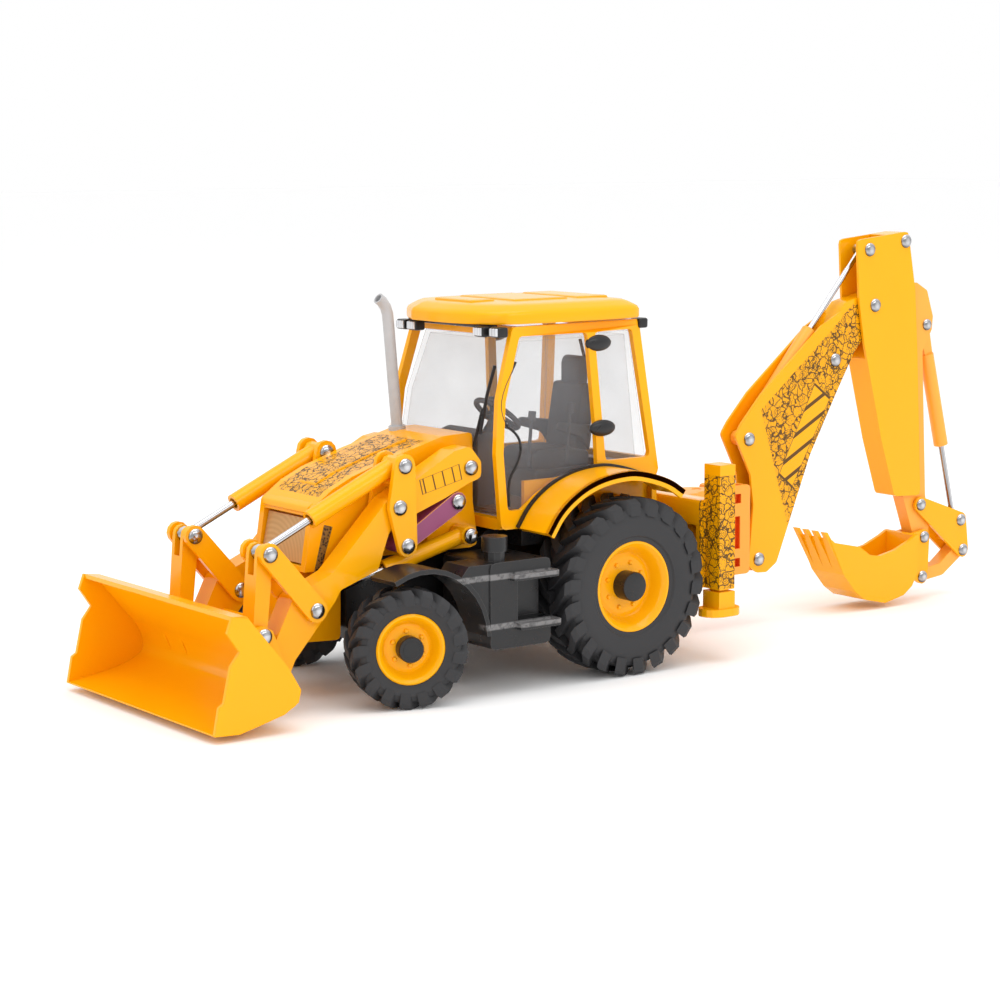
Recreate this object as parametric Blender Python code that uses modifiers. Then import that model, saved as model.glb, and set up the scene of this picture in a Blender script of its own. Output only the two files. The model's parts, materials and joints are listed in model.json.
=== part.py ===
"""Toy backhoe loader, 1:32: a wheeled tractor with a front loader and a rear digger, in separate pieces.

The tractor is laid out in millimetres from the rear axle: +X forward, +Y to its left, +Z up from the ground.
"""

import math

import bmesh
import bpy
from mathutils import Matrix, Vector

MM = 0.001
MERGE = 1e-6
FULL_TURN = 2 * math.pi

# ---- Whole machine ----
AXLE_TO_CENTRE = 15.5
WHEELBASE = 63.6
GAP = 0.3
PIN_R = 1.1
BORE_R = PIN_R + GAP
FINE = 10  # sides of a small round pin or hole
ROUND = 20  # sides of a larger round piece
PAST = 1.0  # how far a cutter runs beyond what it cuts

# ---- Wheels ----
REAR_TYRE_R = 22.7
REAR_TYRE_HALF = 7.3
REAR_WHEEL_Y = 28.5
REAR_SEAT_R = 10.4
REAR_FLANGE_R = 11.9
FRONT_TYRE_R = 14.6
FRONT_TYRE_HALF = 4.95
FRONT_STUB = 8.5
FRONT_SEAT_R = 7.5
FRONT_FLANGE_R = 8.8
KINGPIN_Y = 21.5
STEER_REST = 16.5
AXLE_R = 1.7
STEER_ARM = 7.0
REAR_RIM_HALF = 5.6
FRONT_RIM_HALF = 3.9
HUB_CAP_R = 3.6
FRONT_CAP_R = 2.9
HUB_CAP_OUTER = 35.0
KNUCKLE_R = 2.4
FORK_HALF = 3.9
BEAM_HALF = 2.1
TIE_ROD_HALF = 0.9
TIE_ROD_DEPTH = 1.6

# ---- Tractor body ----
SPINE_HALF = 9.5
BONNET_HALF = 11.9
CAB_HALF = 23.5
CAB_WALL = 1.5
GLASS_WALL = 0.8
ROOF_Z = 89.2
ROOF_RISE = 5.2
CAB_TOP = ROOF_Z - 0.6
SILL_Z = 38.8
ARCH_HALF = 20.6
WAIST_Z = 57.0
DECK_Z = 37.5
FENDER_OUTER = 36.0
TANK_OUTER = 34.0
STEP_OUTER = 36.0
TANK_FOOT = 11.6
TANK_TOP = 33.0
STEP_INNER = 26.0
FILLER_X = 40.4
FILLER_Y = 30.4
GUARD_R = 17.8
GUARD_WALL = 1.2
STACK_Y = -9.0
STACK_R = 1.5

# ---- Loader: pivots in side view (X, Z) ----
ARM_PIVOT = (40.4, 54.7)
LINK_PIVOT = (44.2, 46.6)
LIFT_BASE = (40.5, 37.8)
PLATE_PIVOT = (62.4, 46.9)
PLATE_TOP = (60.8, 56.8)
PLATE_FOOT = (60.2, 37.4)
LIFT_TIP = (80.5, 27.5)
LEVER_PIVOT = (86.1, 24.5)
LEVER_TOP = (98.7, 39.1)
BUCKET_LINK_PIN = (100.6, 20.0)
BUCKET_PIVOT = (96.5, 10.0)
CROSS_TUBE = (90.0, 17.8)
ARM_IN = 14.5
ARM_OUT = 20.7
CHEEK_IN = 12.8
CHEEK = 1.4
LOADER_HALF = 36.64
LOADER_WALL = 1.2
LINKAGE_Y = (ARM_IN + ARM_OUT) / 2
GUARD_INNER = ARM_OUT + 2.9
OUTER_IN = ARM_OUT + GAP
OUTER_OUT = OUTER_IN + CHEEK
LIFT_BARREL_R = 2.1
TILT_BARREL_R = 2.3
RAM_BORE_R = 1.5
LIFT_BARREL = 24.8
TILT_BARREL = 26.8

# ---- Digger: pivots in side view (X, Z) ----
SLEW_X = -50.0
BOOM_PIVOT = (-70.1, 18.6)
DIPPER_PIVOT = (-112.9, 87.3)
DIPPER_RAM_BASE = (-66.1, 52.4)
DIPPER_RAM_TIP = (-110.4, 103.1)
BUCKET_RAM_BASE = (-135.5, 80.7)
BUCKET_RAM_TIP = (-150.1, 22.3)
CRANK_PIVOT = (-133.3, 28.3)
CRANK_PIN = (-151.2, 13.3)
DIGGER_PIVOT = (-134.7, 18.7)
DIGGER_LINK_PIN = (-134.2, 7.0)
SLIDE_LEAN = 0.055
BOOM_HALF = 3.3
BOOM_WALL = 0.8
BOOM_TIP_HALF = 2.8
BOOM_TIP_REACH = 12.5
DIPPER_HALF = 3.9
DIPPER_GAP = BOOM_TIP_HALF + GAP
DIGGER_HALF = 6.6
DIGGER_WALL = 1.1
DIPPER_BARREL = 38.0
BUCKET_BARREL = 37.0
DIGGER_BARREL_R = 2.1
DIGGER_BORE_R = 1.3
DIGGER_ROD_R = 0.8
CRANK_IN = 2.4
LUG_LOW = (17.2, 20.0)
LUG_HIGH = (36.8, 39.6)
LUG_R = 4.6
POST_R = 4.4
POST_HALF = 5.0
TOOTH_HALF = 0.75
TEETH = 4

# ---- Stabilisers ----
LEG_X = -29.6
LEG_Y = 33.0
HOUSING_HALF_X = 2.6
HOUSING_HALF_Y = 3.1
HOUSING_WALL = 0.9
LEG_TOP = 46.0
TUBE_FOOT = 19.0
TUBE_TOP = 51.4
FOOT_Z = (12.0, 14.0)
BEAM_REACH = 30.2

COLOURS = {
    "paint": ((0.95, 0.52, 0.02), 0.3, 0.0),
    "plastic": ((0.98, 0.55, 0.09), 0.4, 0.0),
    "bronze": ((0.55, 0.3, 0.1), 0.4, 0.3),
    "black": ((0.012, 0.012, 0.013), 0.3, 0.0),
    "tyre": ((0.03, 0.03, 0.033), 0.7, 0.0),
    "purple": ((0.3, 0.05, 0.14), 0.35, 0.0),
    "chrome": ((0.8, 0.8, 0.82), 0.12, 1.0),
    "steel": ((0.5, 0.5, 0.52), 0.3, 1.0),
    "grey": ((0.3, 0.3, 0.31), 0.5, 0.0),
    "seat": ((0.05, 0.05, 0.055), 0.6, 0.0),
    "glass": ((0.9, 0.93, 0.93), 0.05, 0.0),
}

for old in list(bpy.data.objects):
    bpy.data.objects.remove(old, do_unlink=True)
parts = bpy.data.collections.new("toy_backhoe_loader")
helpers = bpy.data.collections.new("cutters")
bpy.context.scene.collection.children.link(parts)
bpy.context.scene.collection.children.link(helpers)
frame = bpy.data.objects.new("rear_axle_frame", None)
frame.location = (AXLE_TO_CENTRE * MM, 0, 0)
parts.objects.link(frame)


# ---- Making shapes: every length below is in millimetres ----
def finish(name, kind):
    """A sub-part's own material, in one of the colours above."""
    colour, roughness, metallic = COLOURS[kind]
    made = bpy.data.materials.new(name)
    made.use_nodes = True
    shader = made.node_tree.nodes["Principled BSDF"]
    shader.inputs["Base Color"].default_value = (*colour, 1)
    shader.inputs["Roughness"].default_value = roughness
    shader.inputs["Metallic"].default_value = metallic
    return made


def shape(bm):
    """A helper object holding this bmesh, whose points are in millimetres."""
    bmesh.ops.transform(bm, matrix=Matrix.Scale(MM, 4), verts=bm.verts)
    mesh = bpy.data.meshes.new("shape")
    bm.to_mesh(mesh)
    bm.free()
    obj = bpy.data.objects.new("shape", mesh)
    helpers.objects.link(obj)
    obj.hide_render = True
    obj.display_type = "WIRE"
    obj.parent = frame
    return obj


def box(corner, opposite):
    low = Vector(map(min, corner, opposite))
    high = Vector(map(max, corner, opposite))
    bm = bmesh.new()
    middle = Matrix.Translation((low + high) / 2)
    bmesh.ops.create_cube(bm, size=1, matrix=middle @ Matrix.Diagonal((*(high - low), 1)))
    return shape(bm)


def bar(start, end, radius, end_radius=None, segments=FINE):
    """A round bar between two points; end_radius makes it a cone."""
    start, end = Vector(start), Vector(end)
    way = end - start
    turn = way.to_track_quat("Z", "Y").to_matrix().to_4x4()
    bm = bmesh.new()
    bmesh.ops.create_cone(
        bm,
        cap_ends=True,
        segments=segments,
        radius1=radius,
        radius2=radius if end_radius is None else end_radius,
        depth=way.length,
        matrix=Matrix.Translation((start + end) / 2) @ turn,
    )
    return shape(bm)


def across(centre, radius, y_from, y_to, segments=FINE):
    """A round bar along Y at a side-view point."""
    return bar((centre[0], y_from, centre[1]), (centre[0], y_to, centre[1]), radius, segments=segments)


def upright(x, y, radius, z_from, z_to, segments=FINE):
    return bar((x, y, z_from), (x, y, z_to), radius, segments=segments)


def welded(curve_object):
    """The curve as a mesh object, its caps joined to its sides."""
    helpers.objects.link(curve_object)
    bpy.context.view_layer.update()
    graph = bpy.context.evaluated_depsgraph_get()
    mesh = bpy.data.meshes.new_from_object(curve_object.evaluated_get(graph))
    bm = bmesh.new()
    bm.from_mesh(mesh)
    bmesh.ops.transform(bm, matrix=curve_object.matrix_world, verts=bm.verts)
    bmesh.ops.remove_doubles(bm, verts=bm.verts, dist=MERGE)
    bmesh.ops.transform(bm, matrix=Matrix.Scale(1 / MM, 4), verts=bm.verts)
    bpy.data.objects.remove(curve_object, do_unlink=True)
    return shape(bm)


def flat(outlines, low, high, turn, shift):
    """A flat outline, and any holes in it, made solid between two distances along its normal."""
    curve = bpy.data.curves.new("outline", "CURVE")
    curve.dimensions = "2D"
    curve.fill_mode = "BOTH"
    curve.extrude = (high - low) / 2 * MM
    for points in outlines:
        spline = curve.splines.new("POLY")
        spline.points.add(len(points) - 1)
        for place, (u, v) in zip(spline.points, points):
            place.co = (u * MM, v * MM, 0, 1)
        spline.use_cyclic_u = True
    obj = bpy.data.objects.new("outline", curve)
    obj.rotation_euler = turn
    obj.location = Vector(shift) * ((low + high) / 2 * MM)
    return welded(obj)


def plate(points, y_from, y_to, holes=()):
    """A side-view outline made solid between two Y values."""
    low, high = sorted((y_from, y_to))
    return flat([points, *holes], low, high, (math.pi / 2, 0, 0), (0, 1, 0))


def slab(points, z_from, z_to, holes=()):
    """A plan outline made solid between two heights."""
    return flat([points, *holes], z_from, z_to, (0, 0, 0), (0, 0, 1))


def arc(centre, radius, start, end, steps):
    """Points on an arc, angles in degrees anticlockwise from +X."""
    angles = [math.radians(start + (end - start) * i / steps) for i in range(steps + 1)]
    return [(centre[0] + radius * math.cos(a), centre[1] + radius * math.sin(a)) for a in angles]


def ring(centre, radius, steps=10):
    return arc(centre, radius, 0, 360, steps)[:-1]


def hull(circles, steps=12):
    """The outline that wraps round circles given as (centre, radius)."""
    points = sorted({p for centre, radius in circles for p in ring(centre, radius, steps)})

    def half(row):
        kept = []
        for p in row:
            while len(kept) > 1 and cross(kept[-2], kept[-1], p) <= MERGE:
                kept.pop()
            kept.append(p)
        return kept[:-1]

    return half(points) + half(points[::-1])


def cross(a, b, c):
    return (b[0] - a[0]) * (c[1] - a[1]) - (b[1] - a[1]) * (c[0] - a[0])


def rounded(points, radius, steps=2):
    """The outline with each corner rounded, as far as its sides allow."""
    made = []
    for before, here, after in zip(points[-1:] + points[:-1], points, points[1:] + points[:1]):
        here = Vector(here)
        back, on = Vector(before) - here, Vector(after) - here
        half_angle = back.angle(on) / 2
        reach = min(radius / math.tan(half_angle), 0.45 * back.length, 0.45 * on.length)
        first, last = here + back.normalized() * reach, here + on.normalized() * reach
        for i in range(steps + 1):
            t = i / steps
            made.append(tuple(first.lerp(here, t).lerp(here.lerp(last, t), t)))
    return made


def turned(profile, centre, steps=24):
    """A closed or axis-ended profile of (radius, offset) spun about the Y axis through centre."""
    bm = bmesh.new()
    row = [bm.verts.new((r, 0, h)) for r, h in profile]
    ends = zip(row, row[1:] + row[:1]) if profile[0][0] > 0 else zip(row, row[1:])
    for a, b in ends:
        bm.edges.new((a, b))
    obj = shape(bm)
    spin = obj.modifiers.new("spin", "SCREW")
    spin.axis = "Z"
    spin.angle = FULL_TURN
    spin.steps = spin.render_steps = steps
    spin.use_merge_vertices = True
    spin.merge_threshold = MERGE
    obj.location = Vector(centre) * MM
    obj.rotation_euler = (-math.pi / 2, 0, 0)
    return obj


def joined(first, *others, operation="UNION"):
    for other in others:
        step = first.modifiers.new(operation.lower(), "BOOLEAN")
        step.operation = operation
        step.solver = "EXACT"
        step.object = other
    return first


def cut(first, *others):
    return joined(first, *others, operation="DIFFERENCE")


def part(name, obj, colour, pivot=None, turn=None):
    """Makes a helper into a named sub-part, with its origin at its pivot."""
    if pivot is not None:
        obj.data.transform(Matrix.Translation(-Vector(pivot) * MM))
        obj.location = Vector(pivot) * MM
    if turn is not None:
        obj.rotation_euler = turn
    helpers.objects.unlink(obj)
    parts.objects.link(obj)
    obj.name = obj.data.name = name
    obj.hide_render = False
    obj.display_type = "TEXTURED"
    obj.data.materials.clear()
    obj.data.materials.append(finish(name, colour))
    obj.data.shade_smooth()
    obj.data.set_sharp_from_angle(angle=math.radians(30))
    return obj


def at(point, y=0):
    """A side-view point as a place in space."""
    return (point[0], y, point[1])


def along(start, end, distance):
    """The side-view point this far from start towards end."""
    way = Vector(end) - Vector(start)
    return tuple(Vector(start) + way * (distance / way.length))


def barrel(base, tip, y, length, radius, bore, eye, eye_half, hole):
    """A ram's barrel: a tube closed behind, with an eye round its base pin."""
    bore_start = eye + 0.9
    tube = bar(at(along(base, tip, eye * 0.6), y), at(along(base, tip, length), y), radius, segments=12)
    joined(tube, across(base, eye, y - eye_half, y + eye_half))
    cut(
        tube,
        bar(at(along(base, tip, bore_start), y), at(along(base, tip, length + 5), y), bore, segments=FINE),
        across(base, hole, y - radius - 2, y + radius + 2, 10),
    )
    return tube


def ram_rod(base, tip, y, inner, radius, eye, eye_half):
    """A ram's rod with the eye at its outer end, seen from the barrel's base."""
    rod = bar(at(along(base, tip, inner), y), at(tip, y), radius, segments=FINE)
    return joined(rod, across(tip, eye, y - eye_half, y + eye_half))


SIDES = (("left", 1), ("right", -1))


# ---- Wheels ----
def tyre_profile(radius, half, seat, flange, rim_face):
    """From the outer shoulder over the tread to the inner one, then back through the bead."""
    bead = rim_face - 1.5
    wall = half * 0.93
    belly = (radius + flange) / 2
    outer = [(flange + 0.5, wall), (belly, half), (radius - 1.4, wall)]
    tread = [(radius, half * 0.72), (radius, -half * 0.72)]
    inner = [(r, -h) for r, h in reversed(outer)]
    bead_in = [(flange + 0.5, -bead), (seat + 0.35, -bead)]
    bead_out = [(seat + 0.35, bead), (flange + 0.5, bead)]
    return outer + tread + inner + bead_in + bead_out


def rim_profile(seat, flange, face, hub, bore, web, dish):
    """A spool-shaped rim with a stepped dish outside and an open back."""
    lip = face - 1.2
    outer = [(bore, web), (hub, web), (hub + dish, web - 0.8), (seat - 2.4, web - 0.8), (seat - 1.2, face)]
    edge = [(flange, face), (flange, lip), (seat, lip)]
    back = [(seat, -lip), (flange, -lip), (flange, -face), (seat - 1.2, -face)]
    inside = [(seat - 1.2, web - 3.2), (bore, web - 3.2)]
    return outer + edge + back + inside


def front_wheel_centre(side, offset=0.0):
    """Where the steered stub axle is this far beyond the middle of the tyre."""
    reach = FRONT_STUB + offset
    turn = math.radians(STEER_REST)
    x = WHEELBASE + side * reach * math.sin(turn)
    return (x, side * (KINGPIN_Y + reach * math.cos(turn)), FRONT_TYRE_R)


for word, side in SIDES:
    place = (0, side * REAR_WHEEL_Y, REAR_TYRE_R)
    profile = tyre_profile(REAR_TYRE_R, REAR_TYRE_HALF, REAR_SEAT_R, REAR_FLANGE_R, REAR_RIM_HALF)
    part(f"rear_tyre_{word}", turned(profile, place, 28), "tyre")
    hub = HUB_CAP_R + GAP + 0.1
    profile = rim_profile(REAR_SEAT_R, REAR_FLANGE_R, REAR_RIM_HALF, hub, AXLE_R + GAP, 2.2, 1.2)
    rim = part(f"rear_rim_{word}", turned(profile, place), "paint")
    if side < 0:
        rim.rotation_euler = (math.pi / 2, 0, 0)

    place = front_wheel_centre(side)
    steer = -math.radians(STEER_REST)
    profile = tyre_profile(FRONT_TYRE_R, FRONT_TYRE_HALF, FRONT_SEAT_R, FRONT_FLANGE_R, FRONT_RIM_HALF)
    turn = (-side * math.pi / 2, 0, steer)
    part(f"front_tyre_{word}", turned(profile, place), "tyre", turn=turn)
    hub = FRONT_CAP_R + GAP
    profile = rim_profile(FRONT_SEAT_R, FRONT_FLANGE_R, FRONT_RIM_HALF, hub, AXLE_R + GAP, 1.4, 0.8)
    part(f"front_rim_{word}", turned(profile, place), "paint", turn=turn)

axle = across((0, REAR_TYRE_R), AXLE_R, PAST - HUB_CAP_OUTER, HUB_CAP_OUTER - PAST)
for word, side in SIDES:
    cap_back = side * (HUB_CAP_OUTER - 3.7)
    joined(axle, across((0, REAR_TYRE_R), HUB_CAP_R, cap_back, side * HUB_CAP_OUTER, ROUND))
part("rear_axle", axle, "black", pivot=(0, 0, REAR_TYRE_R))


# ---- Steering ----
def knuckle(word, side):
    """A fork round the axle beam's end with its kingpin, stub axle, hub cap and steering arm."""
    kingpin = Vector((WHEELBASE, side * KINGPIN_Y, 0))
    z = FRONT_TYRE_R
    low, high = z - FORK_HALF, z + FORK_HALF
    opening = BEAM_HALF + GAP
    cap_face = FRONT_STUB + 4.6
    web = box((-KNUCKLE_R, side * 2.95, low), (KNUCKLE_R, side * 4.3, high))
    stub = bar((0, side * 3.5, z), (0, side * (cap_face - 0.4), z), AXLE_R)
    cap = bar((0, side * (cap_face - 2.7), z), (0, side * cap_face, z), FRONT_CAP_R, segments=ROUND)
    prong = hull([((0, 0), KNUCKLE_R), ((0, side * 3.4), KNUCKLE_R)])
    fork = [slab(prong, low, z - opening), slab(prong, z + opening, high)]
    arm = slab(hull([((0, 0), 1.9), ((-STEER_ARM, 0), 1.5)]), low, z - opening)
    made = joined(web, stub, cap, *fork, arm, upright(0, 0, PIN_R, low, high))
    for piece in [made, stub, cap, *fork, arm, *[m.object for m in made.modifiers]]:
        piece.location = kingpin * MM
        piece.rotation_euler = (0, 0, -math.radians(STEER_REST))
    part(f"steering_knuckle_{word}", made, "black")


for word, side in SIDES:
    knuckle(word, side)

swing = math.radians(STEER_REST)
rod_x = WHEELBASE - STEER_ARM * math.cos(swing)
rod_shift = STEER_ARM * math.sin(swing)
rod_z = FRONT_TYRE_R - BEAM_HALF
rod_top = rod_z + TIE_ROD_DEPTH
tie_rod = box(
    (rod_x - TIE_ROD_HALF, rod_shift - KINGPIN_Y, rod_z),
    (rod_x + TIE_ROD_HALF, rod_shift + KINGPIN_Y, rod_top),
)
for word, side in SIDES:
    joined(tie_rod, upright(rod_x, rod_shift + side * KINGPIN_Y, 1.6, rod_z, rod_top))
part("tie_rod", tie_rod, "steel", pivot=(rod_x, rod_shift + KINGPIN_Y, rod_z))

# ---- Chassis ----
beam_low, beam_high = FRONT_TYRE_R - BEAM_HALF, FRONT_TYRE_R + BEAM_HALF
spine = rounded(
    [(-24.5, 17.5), (-24.5, 33), (-14, DECK_Z), (26, DECK_Z), (33, 33.3), (70.0, 33.3), (70.0, 16)],
    1.5,
)
chassis = plate(spine, -SPINE_HALF, SPINE_HALF)
beam = box((WHEELBASE - 3, -KINGPIN_Y, beam_low), (WHEELBASE + 3, KINGPIN_Y, beam_high))
boss = across((0, REAR_TYRE_R), 4.6, -20.4, 20.4, ROUND)
deck = box((-14, -19.5, DECK_Z - 4), (24, 19.5, DECK_Z))
joined(chassis, beam, boss, deck)
for word, side in SIDES:
    joined(chassis, upright(WHEELBASE, side * KINGPIN_Y, 2.6, beam_low, beam_high, ROUND))
    cut(chassis, upright(WHEELBASE, side * KINGPIN_Y, BORE_R, beam_low - PAST, beam_high + PAST))
cut(chassis, across((0, REAR_TYRE_R), AXLE_R + GAP, -HUB_CAP_OUTER, HUB_CAP_OUTER))
part("chassis", chassis, "black")

# ---- Side moulding: tanks, steps and front mudguards, joined under the floor ----
def tread(x_back, x_front, side, z_low, z_high):
    """A flat step that reaches out beyond the tank."""
    plan = [
        (x_back, side * STEP_INNER),
        (x_back, side * STEP_OUTER),
        (x_front, side * STEP_OUTER),
        (x_front, side * STEP_INNER),
    ]
    return slab(rounded(plan, 1.5), z_low, z_high)


guard_centre = (WHEELBASE - 0.5, FRONT_TYRE_R)
guard = arc(guard_centre, GUARD_R + GUARD_WALL, 62, 178, 10) + arc(guard_centre, GUARD_R, 178, 62, 10)
web = [(43.2, 15.8), (43.2, TANK_TOP - 0.2), (50.3, TANK_TOP - 0.2)]
web += arc(guard_centre, GUARD_R + GUARD_WALL / 2, 124, 176, 4)
tank_outline = rounded([(26, TANK_FOOT), (26, TANK_TOP), (44.2, TANK_TOP), (44.2, TANK_FOOT)], 1.5)
moulding = box((28, -18, TANK_FOOT), (42, 18, TANK_FOOT + 3))
for word, side in SIDES:
    tank = plate(tank_outline, side * 14, side * TANK_OUTER)
    recess = box((20, side * (TANK_OUTER - 5), 18.2), (36.0, side * (STEP_OUTER + 4), 28.2))
    upper_step = tread(24.2, 38.4, side, 28.3, 29.8)
    lower_step = tread(23.6, 36.5, side, 16.0, 17.6)
    neck = upright(FILLER_X, side * FILLER_Y, 2.6, TANK_TOP - 0.6, TANK_TOP + 2.6)
    cap = upright(FILLER_X, side * FILLER_Y, 3.2, TANK_TOP + 2.4, TANK_TOP + 6.0, ROUND)
    mudguard = plate(guard, side * GUARD_INNER, side * (TANK_OUTER + 0.2))
    shoulder = plate(web, side * (GUARD_INNER + 0.4), side * (TANK_OUTER - 0.4))
    cut(tank, recess)
    joined(tank, upper_step, lower_step, neck, cap, mudguard, shoulder)
    joined(moulding, tank)
part("side_moulding", moulding, "black")

# ---- Bonnet with the loader towers ----
hood = rounded(
    [
        (33.5, 33.7), (33.5, 62.2), (42.5, 61.8), (57, 57.9), (69, 54.0), (75, 51.2),
        (80.6, 47.2), (82.6, 34.5), (83.4, 30.0), (83.0, 14.2), (71.0, 13.6), (70.6, 33.7),
    ],
    1.2,
)
bonnet = plate(hood, -BONNET_HALF, BONNET_HALF)
nose_trim = [box((70, side * 8.6, 10), (90, side * 14, 31.8)) for _, side in SIDES]
cut(bonnet, *nose_trim)
tower = rounded([(33.5, 33.7), (36.0, 51.1), (37.6, 59.0), (43.5, 58.8), (49.0, 48.4), (49.0, 33.7)], 2.0)
for word, side in SIDES:
    joined(bonnet, plate(tower, side * (BONNET_HALF - 1), side * (CHEEK_IN + CHEEK)))
    for pivot in (ARM_PIVOT, LINK_PIVOT, LIFT_BASE):
        joined(bonnet, across(pivot, PIN_R, side * (CHEEK_IN + 0.5), side * (ARM_OUT + GAP)))
cut(bonnet, plate([(78.1, 44.6), (84, 45.5), (86, 33.2), (80.0, 33.2)], -9.8, 9.8))
part("bonnet", bonnet, "paint")
part("grille", plate([(78.5, 44.2), (79.9, 44.2), (82.2, 33.6), (80.4, 33.6)], -9.4, 9.4), "bronze")

stack = bar((42.0, STACK_Y, 62.3), (44.6, STACK_Y, 92.5), STACK_R)
outlet = bar((44.45, STACK_Y, 91.2), (46.6, STACK_Y, 95.0), STACK_R)
foot = bar((42.0, STACK_Y, 62.3), (42.15, STACK_Y, 64.0), STACK_R + 0.7)
part("exhaust", joined(stack, outlet, foot), "grey")


# ---- Cab ----
def lean(obj):
    """Leans the cab's sides inwards above the waist, more at the rear."""
    fade = 16.0
    for vertex in obj.data.vertices:
        x, y, z = vertex.co / MM
        rear = min(max((3 - x) / fade, 0), 1)
        shift = max(z - WAIST_Z, 0) * (0.05 + 0.12 * rear)
        vertex.co.y -= math.copysign(shift * MM, y)
    return obj


side_wall = rounded(
    [
        (-17.0, 48.8), (-14.6, CAB_TOP), (28.4, CAB_TOP), (33.6, 71.0), (34.8, 57.6),
        (33.2, SILL_Z), (25.6, SILL_Z), (20.6, 43.6), (13.6, 47.2), (8.0, 48.8),
    ],
    1.5,
)
window_top = CAB_TOP - 2.4
front_window = rounded(
    [
        (3.0, 51.4), (3.4, 60), (5.2, window_top), (26.4, window_top), (31.2, 70.4), (32.4, 57.6),
        (31.2, 43.4), (26.8, 43.4), (22.2, 46.6), (14.6, 50.6), (9.0, 51.4),
    ],
    1.2,
)
rear_window = rounded([(-14.0, 53.6), (-11.8, window_top), (2.8, window_top), (0.9, 60), (0.4, 53.6)], 1.2)
cab = box((-17.0, -ARCH_HALF, SILL_Z - 0.2), (33.0, ARCH_HALF, 41.4))
joined(cab, box((24.8, -CAB_HALF + 1, SILL_Z), (33.0, CAB_HALF - 1, 41.4)))
for word, side in SIDES:
    arch_in = side * (ARCH_HALF - 1.2)
    arch_wall = box((-17.0, arch_in, 40.0), (24.0, side * ARCH_HALF, 50.0))
    arch_top = box((-17.0, arch_in, 49.0), (9.0, side * (CAB_HALF - 1), 50.4))
    joined(cab, arch_wall, arch_top)
for word, side in SIDES:
    wall = plate(side_wall, side * (CAB_HALF - CAB_WALL), side * CAB_HALF, [front_window, rear_window])
    joined(cab, lean(wall))
front_rail = box((25.6, -21.4, window_top), (28.2, 21.4, CAB_TOP))
rear_rail = box((-14.6, -18.0, window_top), (-12.2, 18.0, CAB_TOP))
rear_panel = box((-17.2, -CAB_HALF + 1, 41.0), (-15.6, CAB_HALF - 1, 53.0))
joined(cab, front_rail, rear_rail, rear_panel)
part("cab_frame", cab, "paint")

glass_top = window_top - 0.4
glass_side = [
    (-14.4, 50.8), (-12.1, glass_top), (25.2, glass_top), (30.6, 70.8), (32.6, WAIST_Z + 0.6),
    (32.6, 41.9), (27.0, 41.9), (22.0, 46.2), (13.6, 50.8),
]
glass_void = [
    (-13.4, 35.0), (-11.1, glass_top - 1), (24.4, glass_top - 1),
    (29.7, 70.8), (31.7, WAIST_Z + 0.6), (31.7, 35.0),
]
glass_half = CAB_HALF - CAB_WALL - GAP
glass = lean(plate(glass_side, -glass_half, glass_half))
cut(glass, lean(plate(glass_void, -glass_half + GLASS_WALL, glass_half - GLASS_WALL)))
part("cab_glass", glass, "glass")

roof_plan = [(37.4, -11.5), (37.4, 11.5), (31.2, 21.6), (27.0, 23.0), (-9.0, 23.0), (-15.6, 19.4)]
roof_plan += [(x, -y) for x, y in reversed(roof_plan[2:])]
roof = slab(rounded(roof_plan, 2.0), ROOF_Z, ROOF_Z + ROOF_RISE - 1.6)
crown = slab(rounded([(x * 0.93 + 0.7, y * 0.9) for x, y in roof_plan], 2.0), ROOF_Z + 1, ROOF_Z + ROOF_RISE)
part("cab_roof", joined(roof, crown), "paint")

seat = plate(rounded([(-8.5, 42.0), (-8.5, 50.5), (10.5, 50.5), (11.5, 42.0)], 1.0), -7.5, 7.5)
cushion = plate(rounded([(-7.5, 50.2), (-7.5, 55.0), (11.0, 55.4), (11.5, 50.2)], 1.6), -7.0, 7.0)
back = plate(rounded([(-8.0, 54.0), (-10.0, 70.5), (-6.2, 71.5), (-3.0, 54.0)], 1.2), -6.6, 6.6)
headrest = plate(rounded([(-9.5, 70.0), (-10.3, 77.5), (-6.3, 78.0), (-6.0, 70.0)], 1.2), -3.8, 3.8)
dash = plate(rounded([(24.5, 42.0), (22.0, 58.5), (26.0, 62.0), (30.9, 60.8), (31.0, 42.0)], 1.2), -9.0, 9.0)
column = bar((24.5, 0, 55.0), (17.2, 0, 63.2), 1.2)
wheel_way = Vector((-0.66, 0, 0.75))
wheel_hub = Vector((17.2, 0, 63.2))
steering = bar(wheel_hub - wheel_way * 0.7, wheel_hub + wheel_way * 0.7, 6.2, segments=24)
floor = box((-9.0, -9.0, 41.9), (30.5, 9.0, 43.0))
part("cab_interior", joined(seat, cushion, back, headrest, dash, column, steering, floor), "seat")

# ---- Rear mudguards ----
crest = [
    (28.6, 38.8), (24.6, 44.6), (18.4, 49.0), (12.1, 51.4),
    (5.5, 52.4), (-0.6, 52.4), (-10.4, 49.6), (-15.7, 46.1),
]
under = [
    (-14.7, 44.7), (-9.8, 48.0), (-0.4, 50.7), (5.4, 50.7),
    (11.7, 49.8), (17.5, 47.5), (23.4, 43.6), (27.2, 38.0),
]
for word, side in SIDES:
    strip = plate(crest + under, side * (CAB_HALF + 2 * GAP), side * FENDER_OUTER)
    part(f"rear_mudguard_{word}", strip, "paint")

# ---- Rear frame with the stabiliser tubes ----
def leg_box(half_x, half_y, side, z_low, z_high):
    """An upright box on the stabiliser leg's own line."""
    return box(
        (LEG_X - half_x, side * (LEG_Y - half_y), z_low),
        (LEG_X + half_x, side * (LEG_Y + half_y), z_high),
    )


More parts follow.
